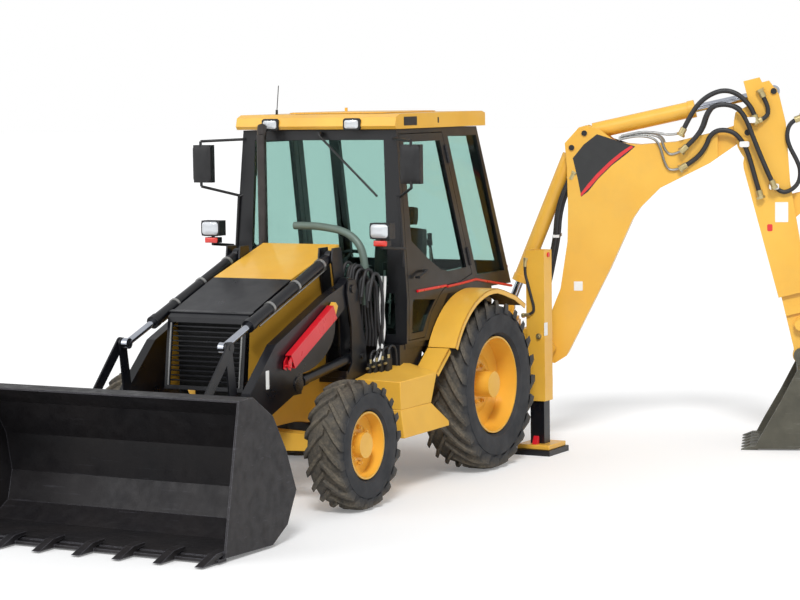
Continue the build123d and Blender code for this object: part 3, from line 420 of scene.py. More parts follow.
def bevelled(piece, width, segments=2):
    """Rounded edges on a modelled piece."""
    modifier = piece.modifiers.new("edge", "BEVEL")
    modifier.width = width
    modifier.segments = segments
    modifier.limit_method = "ANGLE"
    return piece


# ---------- camera, floor and light ----------
CAMERA_PLACE = (9.798, -17.316, 3.065)
CAMERA_TURN = 29.055
CAMERA_DOWN = 4.946
CAMERA_ROLL = -0.852
CAMERA_LENS = 108.52
FLOOR_GLOW = 0.18       # seen by the camera only: a white floor that keeps its shadow
SKY_STRENGTH = 0.62
SUNS = (("key", (48, 8, 20), 1.9, 14), ("fill", (62, 0, -40), 0.5, 40))     # turn, strength, spread


def stage():
    """Camera, floor, two suns and a white studio."""
    camera_data = bpy.data.cameras.new("camera")
    camera_data.lens = CAMERA_LENS
    camera_data.sensor_width = 36
    camera_data.clip_end = 200
    camera = bpy.data.objects.new("camera", camera_data)
    turn = (Matrix.Rotation(math.radians(CAMERA_TURN), 4, "Z")
            @ Matrix.Rotation(math.radians(90 - CAMERA_DOWN), 4, "X")
            @ Matrix.Rotation(math.radians(CAMERA_ROLL), 4, "Z"))
    camera.matrix_world = Matrix.Translation(at(*CAMERA_PLACE)) @ turn
    bpy.context.scene.collection.objects.link(camera)
    bpy.context.scene.camera = camera

    bm = bmesh.new()
    bmesh.ops.create_grid(bm, x_segments=1, y_segments=1, size=150)
    data = bpy.data.meshes.new("floor")
    bm.to_mesh(data)
    bm.free()
    s = Shader("floor")
    s.set(Base_Color=(0.86, 0.86, 0.86, 1), Roughness=0.9)
    camera_ray = s.node("LightPath").outputs["Is Camera Ray"]
    glow = s.node("Emission", Color=(1, 1, 1, 1))
    s.link(s.ramp(camera_ray, 0.0, 1.0, 0.0, FLOOR_GLOW), glow.inputs["Strength"])
    summed = s.node("AddShader")
    s.link(s.main.outputs["BSDF"], summed.inputs[0])
    s.link(glow.outputs["Emission"], summed.inputs[1])
    s.link(summed.outputs["Shader"], s.tree.nodes["Material Output"].inputs["Surface"])
    data.materials.append(s.material)
    floor = bpy.data.objects.new("floor", data)
    bpy.context.scene.collection.objects.link(floor)

    for name, angles, strength, spread in SUNS:
        light = bpy.data.lights.new(name, "SUN")
        light.energy = strength
        light.angle = math.radians(spread)
        lamp = bpy.data.objects.new(name, light)
        lamp.rotation_euler = [math.radians(a) for a in angles]
        bpy.context.scene.collection.objects.link(lamp)

    world = bpy.data.worlds.new("studio")
    bpy.context.scene.world = world
    world.use_nodes = True
    tree = world.node_tree
    light_path = tree.nodes.new("ShaderNodeLightPath")
    seen = tree.nodes.new("ShaderNodeBackground")
    seen.inputs["Color"].default_value = (1, 1, 1, 1)
    lighting = tree.nodes["Background"]
    lighting.inputs["Color"].default_value = (0.98, 0.99, 1, 1)
    lighting.inputs["Strength"].default_value = SKY_STRENGTH
    joined = tree.nodes.new("ShaderNodeMixShader")
    either = tree.nodes.new("ShaderNodeMath")
    either.operation = "MAXIMUM"
    tree.links.new(light_path.outputs["Is Camera Ray"], either.inputs[0])
    tree.links.new(light_path.outputs["Is Transmission Ray"], either.inputs[1])
    tree.links.new(either.outputs["Value"], joined.inputs["Fac"])
    tree.links.new(lighting.outputs["Background"], joined.inputs[1])
    tree.links.new(seen.outputs["Background"], joined.inputs[2])
    tree.links.new(joined.outputs["Shader"], tree.nodes["World Output"].inputs["Surface"])
    bpy.context.scene.view_settings.view_transform = "Standard"


# ---------- tyres and wheels ----------
def tyre(end, word, side, rim_radius, lug_height, lugs, lead, thick):
    """Carcass with rounded walls and two staggered rows of slanted bars."""
    node = f"{end}_tyre_{word}"
    low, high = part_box(node)
    centre = (low + high) / 2
    radius, width = (high.z - low.z) / 2, high.x - low.x
    crown = radius - lug_height
    half = width / 2
    shoulder = crown - 0.10 * width
    bulge = rim_radius + 0.42 * (crown - rim_radius)
    outer = [(0.66, rim_radius), (0.76, rim_radius + 0.012),
             (0.92, rim_radius + 0.3 * (bulge - rim_radius)), (0.985, bulge - 0.01),
             (0.99, bulge + 0.2 * (shoulder - bulge)), (0.965, bulge + 0.6 * (shoulder - bulge)),
             (0.93, bulge + 0.64 * (shoulder - bulge)),
             (0.90, shoulder), (0.78, crown - 0.035 * width), (0.5, crown - 0.008 * width), (0.2, crown)]
    profile = [(half * x, r) for x, r in outer] + [(-half * x, r) for x, r in outer[::-1]]
    bm = bmesh.new()
    dust = bm.verts.layers.float.new("dust")
    add_lathe(bm, profile)
    steps = 7
    pitch = 2 * math.pi / lugs
    for row, way in enumerate((1, -1)):
        for k in range(lugs):
            start = (k + 0.5 * row) * pitch
            previous = None
            for i in range(steps):
                t = i / (steps - 1)
                x = way * half * (-0.06 + 1.04 * t)
                angle = start + lead * pitch * t ** 1.1
                fall = 0.0 if t < 0.5 else (t - 0.5) ** 2 * 0.30 * width
                top = radius - 0.002 - fall
                foot = crown - 0.02 - 1.6 * fall
                wide = thick * (0.85 + 0.35 * t) / radius
                section = []
                for offset, height in ((-0.62, foot), (-0.42, top - 0.004), (-0.34, top),
                                       (0.34, top), (0.42, top - 0.004), (0.62, foot)):
                    turned = angle + offset * wide
                    section.append(bm.verts.new((x, height * math.cos(turned), height * math.sin(turned))))
                if previous:
                    for a in range(5):
                        bm.faces.new((previous[a], previous[a + 1], section[a + 1], section[a]))
                else:
                    bm.faces.new(section)
                previous = section
            bm.faces.new(previous[::-1])
    for vert in bm.verts:
        reach = math.hypot(vert.co.y, vert.co.z)
        on_tread = (reach - (crown - 0.05)) / 0.06
        vert[dust] = max(0.0, min(1.0, on_tread)) * (0.9 if abs(vert.co.x) < 0.9 * half else 0.55)
    for ring in range(3):
        r = rim_radius + 0.02 + ring * 0.012
        add_lathe(bm, [(half * 0.80, r), (half * 0.86, r + 0.003), (half * 0.80, r + 0.006)])
    piece = put(f"{end}_tread_{word}", bm, "tyre", f"{end}_wheel_{word}",
                Matrix.Translation(centre) @ Matrix.Scale(side, 4, (1, 0, 0)))
    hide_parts(node)


def wheel_nuts(end, word, side, ring, count, face_x):
    """Wheel nuts on studs in a ring about the hub."""
    centre = middle(f"{end}_rim_{word}")
    bm = bmesh.new()
    for k in range(count):
        angle = 2 * math.pi * k / count
        y, z = ring * math.cos(angle), ring * math.sin(angle)
        add_rod(bm, (face_x, y, z), (face_x + 0.016, y, z), 0.017, sides=6)
        add_rod(bm, (face_x + 0.016, y, z), (face_x + 0.03, y, z), 0.009, sides=10)
    put(f"{end}_nuts_{word}", bm, "yellow_paint", f"{end}_wheel_{word}",
        Matrix.Translation(centre) @ Matrix.Scale(side, 4, (1, 0, 0)))


def wheels():
    """Nuts, and treads from rim radius, lug height, lug count, lead in pitches and bar width."""
    rows = (("rear", (0.392, 0.038, 23, 1.9, 0.058)), ("front", (0.250, 0.028, 19, 1.2, 0.052)))
    for word, side in SIDES:
        for end, sizes in rows:
            tyre(end, word, side, *sizes)
        wheel_nuts("rear", word, side, 0.15, 10, 0.015)
        wheel_nuts("front", word, side, 0.13, 8, 0.045)


# ---------- trim helpers ----------
CORNER_STEPS = 5


def rounded(width, height, corner):
    """Rounded rectangle about the origin, as (u, v) points."""
    points = []
    for cx, cy, first in ((1, 1, 0), (-1, 1, 90), (-1, -1, 180), (1, -1, 270)):
        for k in range(CORNER_STEPS + 1):
            angle = math.radians(first + 90 * k / CORNER_STEPS)
            points.append((cx * (width / 2 - corner) + corner * math.cos(angle),
                           cy * (height / 2 - corner) + corner * math.sin(angle)))
    return points


def add_pad(bm, frame_at, width, height, depth, corner, crown=0.0):
    """Rounded slab whose face is along the frame's +Z, crowned by a given height."""
    outline = rounded(width, height, corner)
    rings = []
    for share, lift in ((1.0, 0.0), (1.0, depth * 0.75), (0.96, depth), (0.7, depth + crown * 0.6),
                        (0.35, depth + crown * 0.92)):
        rings.append([bm.verts.new(frame_at @ Vector((u * share, v * share, lift))) for u, v in outline])
    skin(bm, rings)


def facing(point, direction):
    """Frame at a point whose +Z looks along a direction and +Y is up."""
    z = Vector(direction).normalized()
    x = Vector((0, 0, 1)).cross(z).normalized()
    y = z.cross(x)
    rows = ((x.x, y.x, z.x, 0), (x.y, y.y, z.y, 0), (x.z, y.z, z.z, 0), (0, 0, 0, 1))
    return Matrix.Translation(Vector(point)) @ Matrix(rows)


FRONT, REAR = (0, -1, 0), (0, 1, 0)


def plates(name, rows, finish, body, place=MACHINE_FRAME):
    """Thin rounded plates: rows of (point, direction, width, height, thickness, corner, crown)."""
    bm = bmesh.new()
    for point, direction, width, height, thick, corner, crown in rows:
        add_pad(bm, facing(point, direction), width, height, thick, corner, crown)
    return put(name, bm, finish, body, place)


PLATE = 0.0015          # thickness of a letterless plate


def side_plates(name, point, sizes, finish, body, place=MACHINE_FRAME):
    """The same flat plate on either side: sizes are width, height, thickness and corner."""
    rows = [((side * point[0], *point[1:]), (side, 0, 0), *sizes, 0) for side in (1, -1)]
    plates(name, rows, finish, body, place)


def rods(name, rows, finish, body, place=MACHINE_FRAME):
    """Straight bars: rows of (start, end, radius)."""
    bm = bmesh.new()
    for start, end, radius in rows:
        add_rod(bm, start, end, radius)
    return put(name, bm, finish, body, place)


def spline_points(points):
    """Points along a smooth NURBS line through a given route."""
    curve = bpy.data.curves.new("route", "CURVE")
    curve.dimensions = "3D"
    spline = curve.splines.new("NURBS")
    spline.points.add(len(points) - 1)
    for target, point in zip(spline.points, points):
        target.co = (*point, 1)
    spline.order_u = 3
    spline.use_endpoint_u = True
    spline.resolution_u = 8
    holder = bpy.data.objects.new("route", curve)
    line = bpy.data.meshes.new_from_object(holder)
    found = [v.co.copy() for v in line.vertices]
    bpy.data.objects.remove(holder)
    bpy.data.curves.remove(curve)
    bpy.data.meshes.remove(line)
    return found


def add_tube(bm, path, radius, sides=12):
    """Round tube along a path, with closed ends and no twist."""
    rings = []
    tangent = (path[1] - path[0]).normalized()
    normal = tangent.orthogonal().normalized()
    for k, point in enumerate(path):
        ahead, behind = path[min(k + 1, len(path) - 1)], path[max(k - 1, 0)]
        fresh = (ahead - behind).normalized()
        normal = (tangent.rotation_difference(fresh) @ normal).normalized()
        tangent = fresh
        other = tangent.cross(normal)
        rings.append([bm.verts.new(point + radius * (math.cos(a) * normal + math.sin(a) * other))
                      for a in (2 * math.pi * i / sides for i in range(sides))])
    skin(bm, rings)


def hose(name, route, radius, body, finish="hose", across=None):
    """Hydraulic hose along a route, on a body; when across (body_b, start, end) is given where it crosses a joint,
    the hose stays on no body and the three values are not used.
    """
    path = spline_points(route)
    bm = bmesh.new()
    add_tube(bm, path, radius)
    piece = put(name, bm, finish, None if across else body, Matrix())
    if across:
        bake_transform(piece)
    return path


def both_ends(path):
    """Start and end of a path, each as (last point, the point before it)."""
    return [(path[0], path[1]), (path[-1], path[-2])]


def collars(name, ends, radius, body):
    """Crimped ferrules at the ends of hoses."""
    bm = bmesh.new()
    for start, towards in ends:
        step = (towards - start).normalized()
        add_rod(bm, start - step * 0.012, start + step * 0.045, radius * 1.35, sides=16)
        add_rod(bm, start - step * 0.03, start - step * 0.008, radius * 1.75, sides=6)
    put(name, bm, "fitting", body, Matrix())


# ---------- lamps, mirrors, roof ----------
def lamps():
    """Work lamps on the frame and the roof, indicators and tail lamps."""
    lens, rims, red = [], [], []
    for side in (1, -1):
        x = side * 0.769
        rims.append(((x, -1.362, 2.007), FRONT, 0.174, 0.126, 0.012, 0.03, 0))
        lens.append(((x, -1.366, 2.007), FRONT, 0.15, 0.104, 0.014, 0.028, 0.012))
        red.append(((x, -1.354, 1.912), FRONT, 0.116, 0.042, 0.012, 0.01, 0.005))
    roof = ((-0.404, -1.020, 2.815, FRONT, -0.012), (0.344, -1.020, 2.815, FRONT, -0.012),
            (-0.45, 0.494, 2.83, REAR, 0.012), (0.45, 0.494, 2.83, REAR, 0.012))
    for x, y, z, way, proud in roof:
        rims.append(((x, y, z), way, 0.156, 0.094, 0.02, 0.024, 0))
        lens.append(((x, y + proud, z), way, 0.124, 0.066, 0.014, 0.018, 0.008))
    plates("lamp_bezels", rims, "black_plastic", "chassis")
    plates("lamp_lenses", lens, "lens", "chassis")
    plates("indicator_lenses", red, "lens_red", "chassis")
    tails = [((side * 0.68, 0.806, 1.56), REAR, 0.16, 0.09, 0.03, 0.02, 0.008) for side in (1, -1)]
    plates("tail_lamps", tails, "lens_red", "chassis")


def mirrors():
    """Glass and shell of the two outside mirrors."""
    glass, shells = [], []
    for side in (1, -1):
        x = side * 0.948
        glass.append(((x, -1.1445, 2.51), REAR, 0.150, 0.275, 0.004, 0.03, 0.002))
        shells.append(((x, -1.195, 2.51), FRONT, 0.168, 0.298, 0.012, 0.035, 0.014))
    plates("mirror_glasses", glass, "mirror_glass", "chassis")
    plates("mirror_backs", shells, "black_plastic", "chassis")


def roof_trim():
    """Dark side plates, dark plates in the slots as painted shade, and the hatch."""
    rows = (("roof_side_plates", -0.785, (0.21, 0.068, 0.003, 0.006)),
            # The slots are flat dark plates: painted shade in place of openings.
            ("roof_slot_shades", -0.324, (0.02, 0.045, 0.002, 0.005)))
    for name, y, sizes in rows:
        side_plates(name, (0.7302, y, 2.834), sizes, "black_plastic", "chassis")
    hatch = [((0, -0.25, 2.895), (0, 0.0001, 1), 0.9, 0.9, 0.012, 0.06, 0.004)]
    plates("roof_hatch", hatch, "yellow_paint", "chassis")


# ---------- cab ----------
STRIPE_RADIUS = 0.011


def cab_trim():
    """Wiper, red stripes, door handles and grab rails."""
    wiper = [((0.03, -0.985, 2.735), (0.03, -1.02, 2.735), 0.022),
             ((0.03, -1.018, 2.735), (0.30, -1.012, 2.48), 0.007),
             ((0.06, -1.006, 2.70), (0.55, -1.012, 2.255), 0.009)]
    rods("wiper", wiper, "black_plastic", "chassis")
    bm = bmesh.new()
    route = [(0.799, -0.335, 1.505), (0.798, -0.10, 1.511), (0.797, 0.17, 1.524), (0.806, 0.80, 1.425)]
    for word, side in SIDES:
        bar = ((side * 0.802, -0.84, 1.508), (side * 0.800, -0.36, 1.514), STRIPE_RADIUS)
        rods(f"door_stripe_{word}", [bar], "red_paint", f"door_{word}")
        for a, b in zip(route, route[1:]):
            add_rod(bm, (side * a[0], *a[1:]), (side * b[0], *b[1:]), STRIPE_RADIUS, sides=8)
    put("sill_stripe", bm, "red_paint", "chassis")
    for word, side in SIDES:
        handle = [((side * 0.80, -0.86, 1.62), (side * 0.835, -0.86, 1.62), 0.011),
                  ((side * 0.832, -0.868, 1.62), (side * 0.826, -0.72, 1.66), 0.012),
                  ((side * 0.825, -0.725, 1.66), (side * 0.790, -0.725, 1.66), 0.011)]
        rods(f"door_handle_{word}", handle, "black_plastic", f"door_{word}")
        grab = [((side * 0.74, -0.965, 1.70), (side * 0.775, -1.00, 1.72), 0.009),
                ((side * 0.775, -1.00, 1.71), (side * 0.735, -0.995, 2.25), 0.011),
                ((side * 0.735, -0.995, 2.24), (side * 0.70, -0.965, 2.26), 0.009)]
        rods(f"grab_rail_{word}", grab, "black_plastic", "chassis")


def seat_set():
    """Suspension seat: crowned cushion and back with sewn channels, replacing the plain solids."""
    def pad(name, low, high, lean, channels):
        size = Vector(high) - Vector(low)
        bm = bmesh.new()
        bmesh.ops.create_cube(bm, size=1, matrix=Matrix.Diagonal((*size, 1)))
        bmesh.ops.subdivide_edges(bm, edges=bm.edges[:], cuts=14, use_grid_fill=True)
        for vert in bm.verts:
            u = [2 * vert.co[i] / size[i] for i in range(3)]
            thin = min(range(3), key=lambda i: size[i])
            spread = [u[i] for i in range(3) if i != thin]
            crown = (1 - abs(spread[0]) ** 3) * (1 - abs(spread[1]) ** 3)
            pinch = 0.90 + 0.10 * crown
            groove = sum(math.exp(-((spread[0] - c) / 0.05) ** 2) for c in channels)
            vert.co[thin] *= pinch - 0.08 * groove
            for i in range(3):
                if i != thin:
                    vert.co[i] *= 1 - 0.05 * abs(spread[0] * spread[1]) ** 2
        turn = Matrix.Rotation(math.radians(lean), 4, "X")
        centre = (Vector(low) + Vector(high)) / 2
        piece = put(name, bm, "seat_fabric", "chassis", MACHINE_FRAME @ Matrix.Translation(centre) @ turn)
        bevelled(piece, 0.02, 3)
        return piece

    cushion = pad("seat_cushion", (-0.235, -0.19, 1.335), (0.235, 0.26, 1.445), 0, (-0.55, 0.55))
    pad("seat_back", (-0.225, 0.29, 1.47), (0.225, 0.39, 1.93), -7, (-0.55, 0.55))
    pad("seat_headrest", (-0.13, 0.345, 1.95), (0.13, 0.425, 2.10), -7, ())
    bm = bmesh.new()
    add_prism(bm, [(-0.04, 1.112), (0.24, 1.112), (0.20, 1.30), (0.0, 1.30)], -0.15, 0.15)
    add_prism(bm, [(-0.15, 1.295), (0.30, 1.295), (0.31, 1.332), (-0.16, 1.332)], -0.20, 0.20)
    for side in (1, -1):
        arm_rest = [(-0.12, 1.56), (0.30, 1.56), (0.32, 1.59), (0.30, 1.61), (-0.10, 1.612), (-0.13, 1.585)]
        add_prism(bm, arm_rest, side * 0.25, side * 0.30)
        add_rod(bm, (side * 0.27, 0.28, 1.58), (side * 0.21, 0.34, 1.52), 0.016)
    base = put("seat_base", bm, "black_plastic", "chassis")
    bevelled(base, 0.006)
    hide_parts("seat")


def cab_inside():
    """Levers, side console and dials."""
    rows, knobs = [], []
    for x, y, z, lean in ((0.34, -0.62, 1.66, 0.05), (0.40, -0.60, 1.63, 0.03), (-0.36, -0.55, 1.60, 0.02),
                          (-0.16, 0.56, 1.82, 0.0), (0.16, 0.56, 1.82, 0.0)):
        foot = (x, y + 0.02, z - 0.42 if y < 0 else z - 0.30)
        rows.append((foot, (x + lean, y, z), 0.009))
        knobs.append(((x + lean, y, z - 0.01), (x + lean, y, z + 0.05), 0.02))
    rods("lever_shafts", rows, "line_steel", "chassis")
    rods("lever_knobs", knobs, "black_plastic", "chassis")
    bm = bmesh.new()
    add_prism(bm, [(-0.62, 1.112), (0.20, 1.112), (0.20, 1.42), (-0.30, 1.50), (-0.62, 1.44)], -0.58, -0.42)
    put("side_console", bm, "grey_plastic", "chassis")
    dial = [((x, -0.765, 1.672), (0, 0.75, 0.66), 0.07, 0.07, 0.006, 0.034, 0.002)
            for x in (-0.24, -0.15, 0.15, 0.24)]
    plates("dials", dial, "blank_plate", "chassis")


# ---------- fenders, side boxes, stabilisers ----------
FENDER_RADIUS = 0.779
FENDER_IN, FENDER_OUT = 0.803, 1.055
FENDER_SHEET, FENDER_LIP = 0.010, 0.042
UNDERSIDE_SCALE = 0.982             # painted shade: a dark sheet inside the arch, drawn in towards the axle
BOX_IN, BOX_STEP, BOX_OUT = 0.60, 0.78, 1.0
SKIRT_TOP, SKIRT_DROP, SKIRT_FLARE = 0.660, 0.215, 0.028


def fender_panels():
    """Wheel-arch sheets with a turned-down lip, the panel that sweeps down to the side box, and a dark sheet
    inside the arch as painted shade.
    """
    turns = [math.radians(a) for a in range(152, 80, -6)]
    arc = [(FENDER_RADIUS * math.cos(a), REAR_LEFT.z + FENDER_RADIUS * math.sin(a)) for a in turns]
    path = arc + [(0.162, 1.445), (0.380, 1.385), (0.566, 1.298)]
    lower = [(y * UNDERSIDE_SCALE, REAR_LEFT.z + (z - REAR_LEFT.z) * UNDERSIDE_SCALE) for y, z in path]
    sweep = [(-0.905, 0.885), (-0.690, 1.052)]
    bm, under = bmesh.new(), bmesh.new()
    for side in (1, -1):
        add_strip(bm, path, FENDER_SHEET, side * FENDER_IN, side * FENDER_OUT)
        add_strip(bm, path, FENDER_LIP, side * (FENDER_OUT - FENDER_SHEET), side * FENDER_OUT)
        add_strip(bm, sweep, 0.012, side * FENDER_IN, side * BOX_OUT)
        add_strip(bm, sweep, 0.045, side * (BOX_OUT - 0.012), side * BOX_OUT)
        # A dark sheet under each arch: painted shade.
        add_strip(under, lower, 0.003, side * (FENDER_IN + 0.01), side * (FENDER_OUT - 0.014))
    panel = put("fender_panels", bm, "yellow_paint", "chassis")
    bevelled(panel, 0.004)
    put("fender_underside_shade", under, "black_plastic", "chassis")
    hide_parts("rear_fenders")


def sorted_corners(side, low, high):
    """The two corners of a box mirrored to a side, lowest first."""
    x0, x1 = sorted((side * low[0], side * high[0]))
    return (x0, *low[1:]), (x1, *high[1:])


def side_box_panels():
    """Tank and step box: folded lower skirt, deck that climbs inward and rail brackets."""
    outer = [(-1.490, 0.660), (-1.005, 0.660), (-0.905, 0.885), (-1.035, 0.883), (-1.153, 0.881),
             (-1.490, 0.875)]
    inner = [(-1.490, 0.660), (-1.005, 0.660), (-0.930, 0.950), (-1.035, 0.963), (-1.153, 0.929),
             (-1.490, 0.880)]
    skirt = [(-1.490, 0.445), (-0.760, 0.452), (-0.757, 0.490), (-1.005, 0.660), (-1.490, 0.660)]
    bm = bmesh.new()
    for side in (1, -1):
        add_loft(bm, [(side * BOX_IN, inner), (side * BOX_STEP, inner), (side * BOX_OUT, outer)])
        low_ring = [bm.verts.new((side * BOX_IN, y, z)) for y, z in skirt]
        out_ring = [bm.verts.new((side * (BOX_OUT + SKIRT_FLARE * (SKIRT_TOP - z) / SKIRT_DROP), y, z))
                    for y, z in skirt]
        skin(bm, [low_ring, out_ring])
        for y0, y1 in ((-1.150, -1.050), (-0.930, -0.850)):
            add_box(bm, *sorted_corners(side, (0.35, y0, 0.560), (0.61, y1, 0.640)))
    boxes = put("side_box_panels", bm, "yellow_paint", "chassis")
    bevelled(boxes, 0.006)
    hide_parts("side_boxes")


def valve_banks():
    """Dark panels that close the gap under the cab, and the valves and short hoses before them."""
    for word, side in SIDES:
        bm = bmesh.new()
        add_loft(bm, [(side * x, [(-1.090, 0.890), (-0.760, 0.930), (-0.700, 1.105), (-1.090, 1.105)])
                      for x in (0.46, 0.775)])
        put(f"cab_skirt_{word}", bm, "cab_black", "chassis")
        blocks, caps = bmesh.new(), bmesh.new()
        spots = [(0.625 + 0.036 * k, -1.285 + 0.030 * k, 0.935 + 0.012 * k) for k in range(4)]
        for x, y, z in spots:
            low, high = (x - 0.014, y - 0.035, 0.890), (x + 0.014, y + 0.035, z + 0.045)
            add_box(blocks, *sorted_corners(side, low, high))
            add_rod(caps, (side * x, y, z + 0.045), (side * x, y, z + 0.075), 0.011, sides=6)
            add_rod(caps, (side * x, y - 0.034, z + 0.01), (side * x, y - 0.062, z + 0.01), 0.010,
                    sides=6)
        bevelled(put(f"valve_blocks_{word}", blocks, "engine_iron", "chassis"), 0.004)
        put(f"valve_fittings_{word}", caps, "fitting", "chassis")
        for k, (x, y, z) in enumerate(spots):
            route = [(x, y, z + 0.070), (x, y + 0.004, z + 0.115), (x + 0.006, y + 0.040, z + 0.142),
                     (x + 0.012, y + 0.085, z + 0.125), (x + 0.014, y + 0.105, z + 0.060),
                     (x + 0.014, y + 0.110, 0.925)]
            points = [at(side * px, py, pz) for px, py, pz in route]
            hose(f"valve_hose_{word}_{k}", points, 0.009, "chassis")


def stabiliser_details():
    """Foot plates, lock pins, fittings, hoses and blank labels of the two rear legs."""
    drop = ((0.918, 1.628), (0.908, 1.542), (0.941, 1.434), (0.966, 1.341), (0.999, 1.233), (0.975, 1.185),
            (0.912, 1.175))
    for word, side in SIDES:
        bm = bmesh.new()
        add_box(bm, *sorted_corners(side, (0.85, 0.785, 0.048), (1.15, 1.115, 0.088)))
        bevelled(put(f"foot_slab_{word}", bm, "yellow_paint", f"stabiliser_{word}"), 0.006)
        catch = bmesh.new()
        hook = [(0.796, 0.088), (0.846, 0.088), (0.846, 0.150), (0.834, 0.158), (0.816, 0.125)]
        add_loft(catch, [(side * x, hook) for x in (0.985, 1.030)])
        put(f"foot_catch_{word}", catch, "red_paint", f"stabiliser_{word}")
        rods(f"lock_pin_{word}", [((side * 1.082, 0.934, 1.681), (side * 1.094, 0.934, 1.681), 0.020)],
             "red_paint", "chassis")
        rods(f"leg_boss_{word}", [((side * 1.035, 0.862, 1.0), (side * 1.035, 0.838, 1.0), 0.024),
                                  ((side * 1.035, 0.842, 1.0), (side * 1.035, 0.822, 1.0), 0.012)],
             "fitting", "chassis")
        label = ((side * 1.0845, 0.880, 1.059), (side, 0, 0), 0.066, 0.110, PLATE, 0.005, 0)
        plates(f"leg_label_{word}", [label], "blank_plate", "chassis")
        route = [at(side * x, 0.842, z) for x, z in drop]
        path = hose(f"leg_hose_{word}", route, 0.012, "chassis")
        collars(f"leg_ferrules_{word}", both_ends(path), 0.012, "chassis")


def front_details():
    """Pale grille posts as a painted highlight on the grille's side edges, the lip, arm plates, the strut's
    fittings and the antenna.
    """
    bm = bmesh.new()
    # Pale steel rods on the grille's sides: a painted highlight of its lit edges.
    for side in (1, -1):
        add_rod(bm, (side * 0.312, -2.668, 0.930), (side * 0.312, -2.608, 1.385), 0.007, sides=10)
    put("grille_post_highlights", bm, "line_steel", "hood")
    bm = bmesh.new()
    lip = [(-2.560, 1.466), (-2.520, 1.476), (-2.520, 1.470), (-2.560, 1.458)]
    add_loft(bm, [(x, lip) for x in (-0.36, 0.36)])
    put("nose_lip", bm, "black_paint", "hood")
    side_plates("arm_blank_plates", (0.5655, -2.683, 1.005), (0.046, 0.135, PLATE, 0.004), "blank_plate",
                "loader_arms")
    for word, side in SIDES:
        bm = bmesh.new()
        add_loft(bm, [(side * x, [(-1.836, 1.444), (-1.776, 1.494), (-1.742, 1.462), (-1.780, 1.388)])
                      for x in (0.572, 0.612)])
        put(f"strut_bracket_{word}", bm, "yellow_paint", "loader_arms")
        bm = bmesh.new()
        flange = [(-2.404, 1.174), (-2.444, 1.048), (-2.476, 1.062), (-2.470, 1.116)]
        for x in (0.572, 0.610):
            add_loft(bm, [(side * (x + d), flange) for d in (0.0, 0.009)])
        add_rod(bm, (side * 0.570, -2.452, 1.082), (side * 0.626, -2.452, 1.082), 0.012)
        put(f"strut_flanges_{word}", bm, "red_paint", "loader_arms")
    rods("antenna", [((-0.547, -0.70, 2.893), (-0.546, -0.70, 2.93), 0.010),
                     ((-0.547, -0.70, 2.90), (-0.5255, -0.70, 3.125), 0.0035)], "black_plastic", "chassis")


# ---------- hoses ----------
ARCH_RADIUS = 0.021
EDGE_OFFSET = 0.055                 # of the edge hoses' row from the boom's line, towards the cab


def hoe_hoses():
    """Hoses that arch from the boom to the stick, and the ones along the boom's front edge."""
    pivot_in, pivot_out = hoe(1.86, 2.80), hoe(2.20, 2.66)
    cross = ("stick", pivot_in, pivot_out)
    ends_boom, ends_stick = [], []
    top = [(1.517, 2.678), (1.571, 2.786), (1.648, 2.914), (1.755, 3.000), (1.873, 3.037), (1.981, 3.008),
           (2.066, 2.931), (2.119, 2.854), (2.140, 2.778)]
    low = [(1.520, 2.383), (1.635, 2.449), (1.721, 2.557), (1.754, 2.654), (1.829, 2.703), (1.958, 2.684),
           (2.044, 2.575), (2.086, 2.466), (2.139, 2.271), (2.176, 2.141)]
    mid = [(1.530, 2.535), (1.614, 2.612), (1.689, 2.709), (1.722, 2.827), (1.776, 2.902), (1.895, 2.918),
           (2.001, 2.877), (2.065, 2.779), (2.108, 2.660), (2.193, 2.443), (2.288, 2.226)]
    arches = (("arch_hose_top", 0.172, top), ("arch_hose_low", 0.172, low), ("arch_hose_mid", 0.205, mid),
              ("arch_hose_far", -0.172, mid[:-1]))
    for name, lateral, route in arches:
        path = hose(name, [hoe(r, z, lateral) for r, z in route], ARCH_RADIUS, "boom", across=cross)
        boom_end, stick_end = both_ends(path)
        ends_boom.append(boom_end)
        ends_stick.append(stick_end)
    bend = [(2.288, 2.226), (2.340, 2.165), (2.420, 2.170), (2.500, 2.240), (2.515, 2.350), (2.481, 2.440),
            (2.415, 2.560), (2.396, 2.667), (2.435, 2.765), (2.508, 2.790)]
    short = [(2.185, 3.010), (2.210, 2.960), (2.247, 2.874), (2.236, 2.799), (2.151, 2.767)]
    for name, route in (("stick_hose_s", bend), ("stick_hose_top", short)):
        path = hose(name, [hoe(r, z, 0.160) for r, z in route], 0.019, "stick")
        ends_stick += both_ends(path)
    edge = [(0.640, 2.330), (0.560, 2.180), (0.505, 1.990), (0.492, 1.800), (0.452, 1.600), (0.410, 1.400),
            (0.350, 1.180), (0.300, 1.000)]
    rows = ((0.0, 0.122), (-0.018, 0.078), (0.020, 0.098), (-0.018, -0.078), (0.0, -0.115))
    for k, (shift, lateral) in enumerate(rows):
        route = [hoe(r - EDGE_OFFSET + shift, z, lateral) for r, z in edge]
        path = hose(f"boom_edge_hose_{k}", route, 0.017, "boom")
        ends_boom.append(both_ends(path)[0])
    collars("boom_ferrules", ends_boom, ARCH_RADIUS, "boom")
    collars("stick_ferrules", ends_stick, ARCH_RADIUS, "stick")
    bm = bmesh.new()
    for r, z, lateral in ((2.098, 2.779, 0.19), (2.044, 2.575, 0.172), (2.292, 2.215, 0.19)):
        spot = hoe(r, z, lateral)
        add_pad(bm, facing(spot - ACROSS * 0.03, ACROSS), 0.085, 0.05, 0.058, 0.015)
    put("stick_hose_clamps", bm, "band_white", "stick", Matrix())
    bm = bmesh.new()
    for r, z in ((0.442, 1.800), (0.335, 1.28)):
        add_box(bm, (-0.14, r - 0.035, z - 0.012), (0.14, r + 0.02, z + 0.012))
    put("boom_hose_clamps", bm, "band_white", "boom", HOE_FRAME)


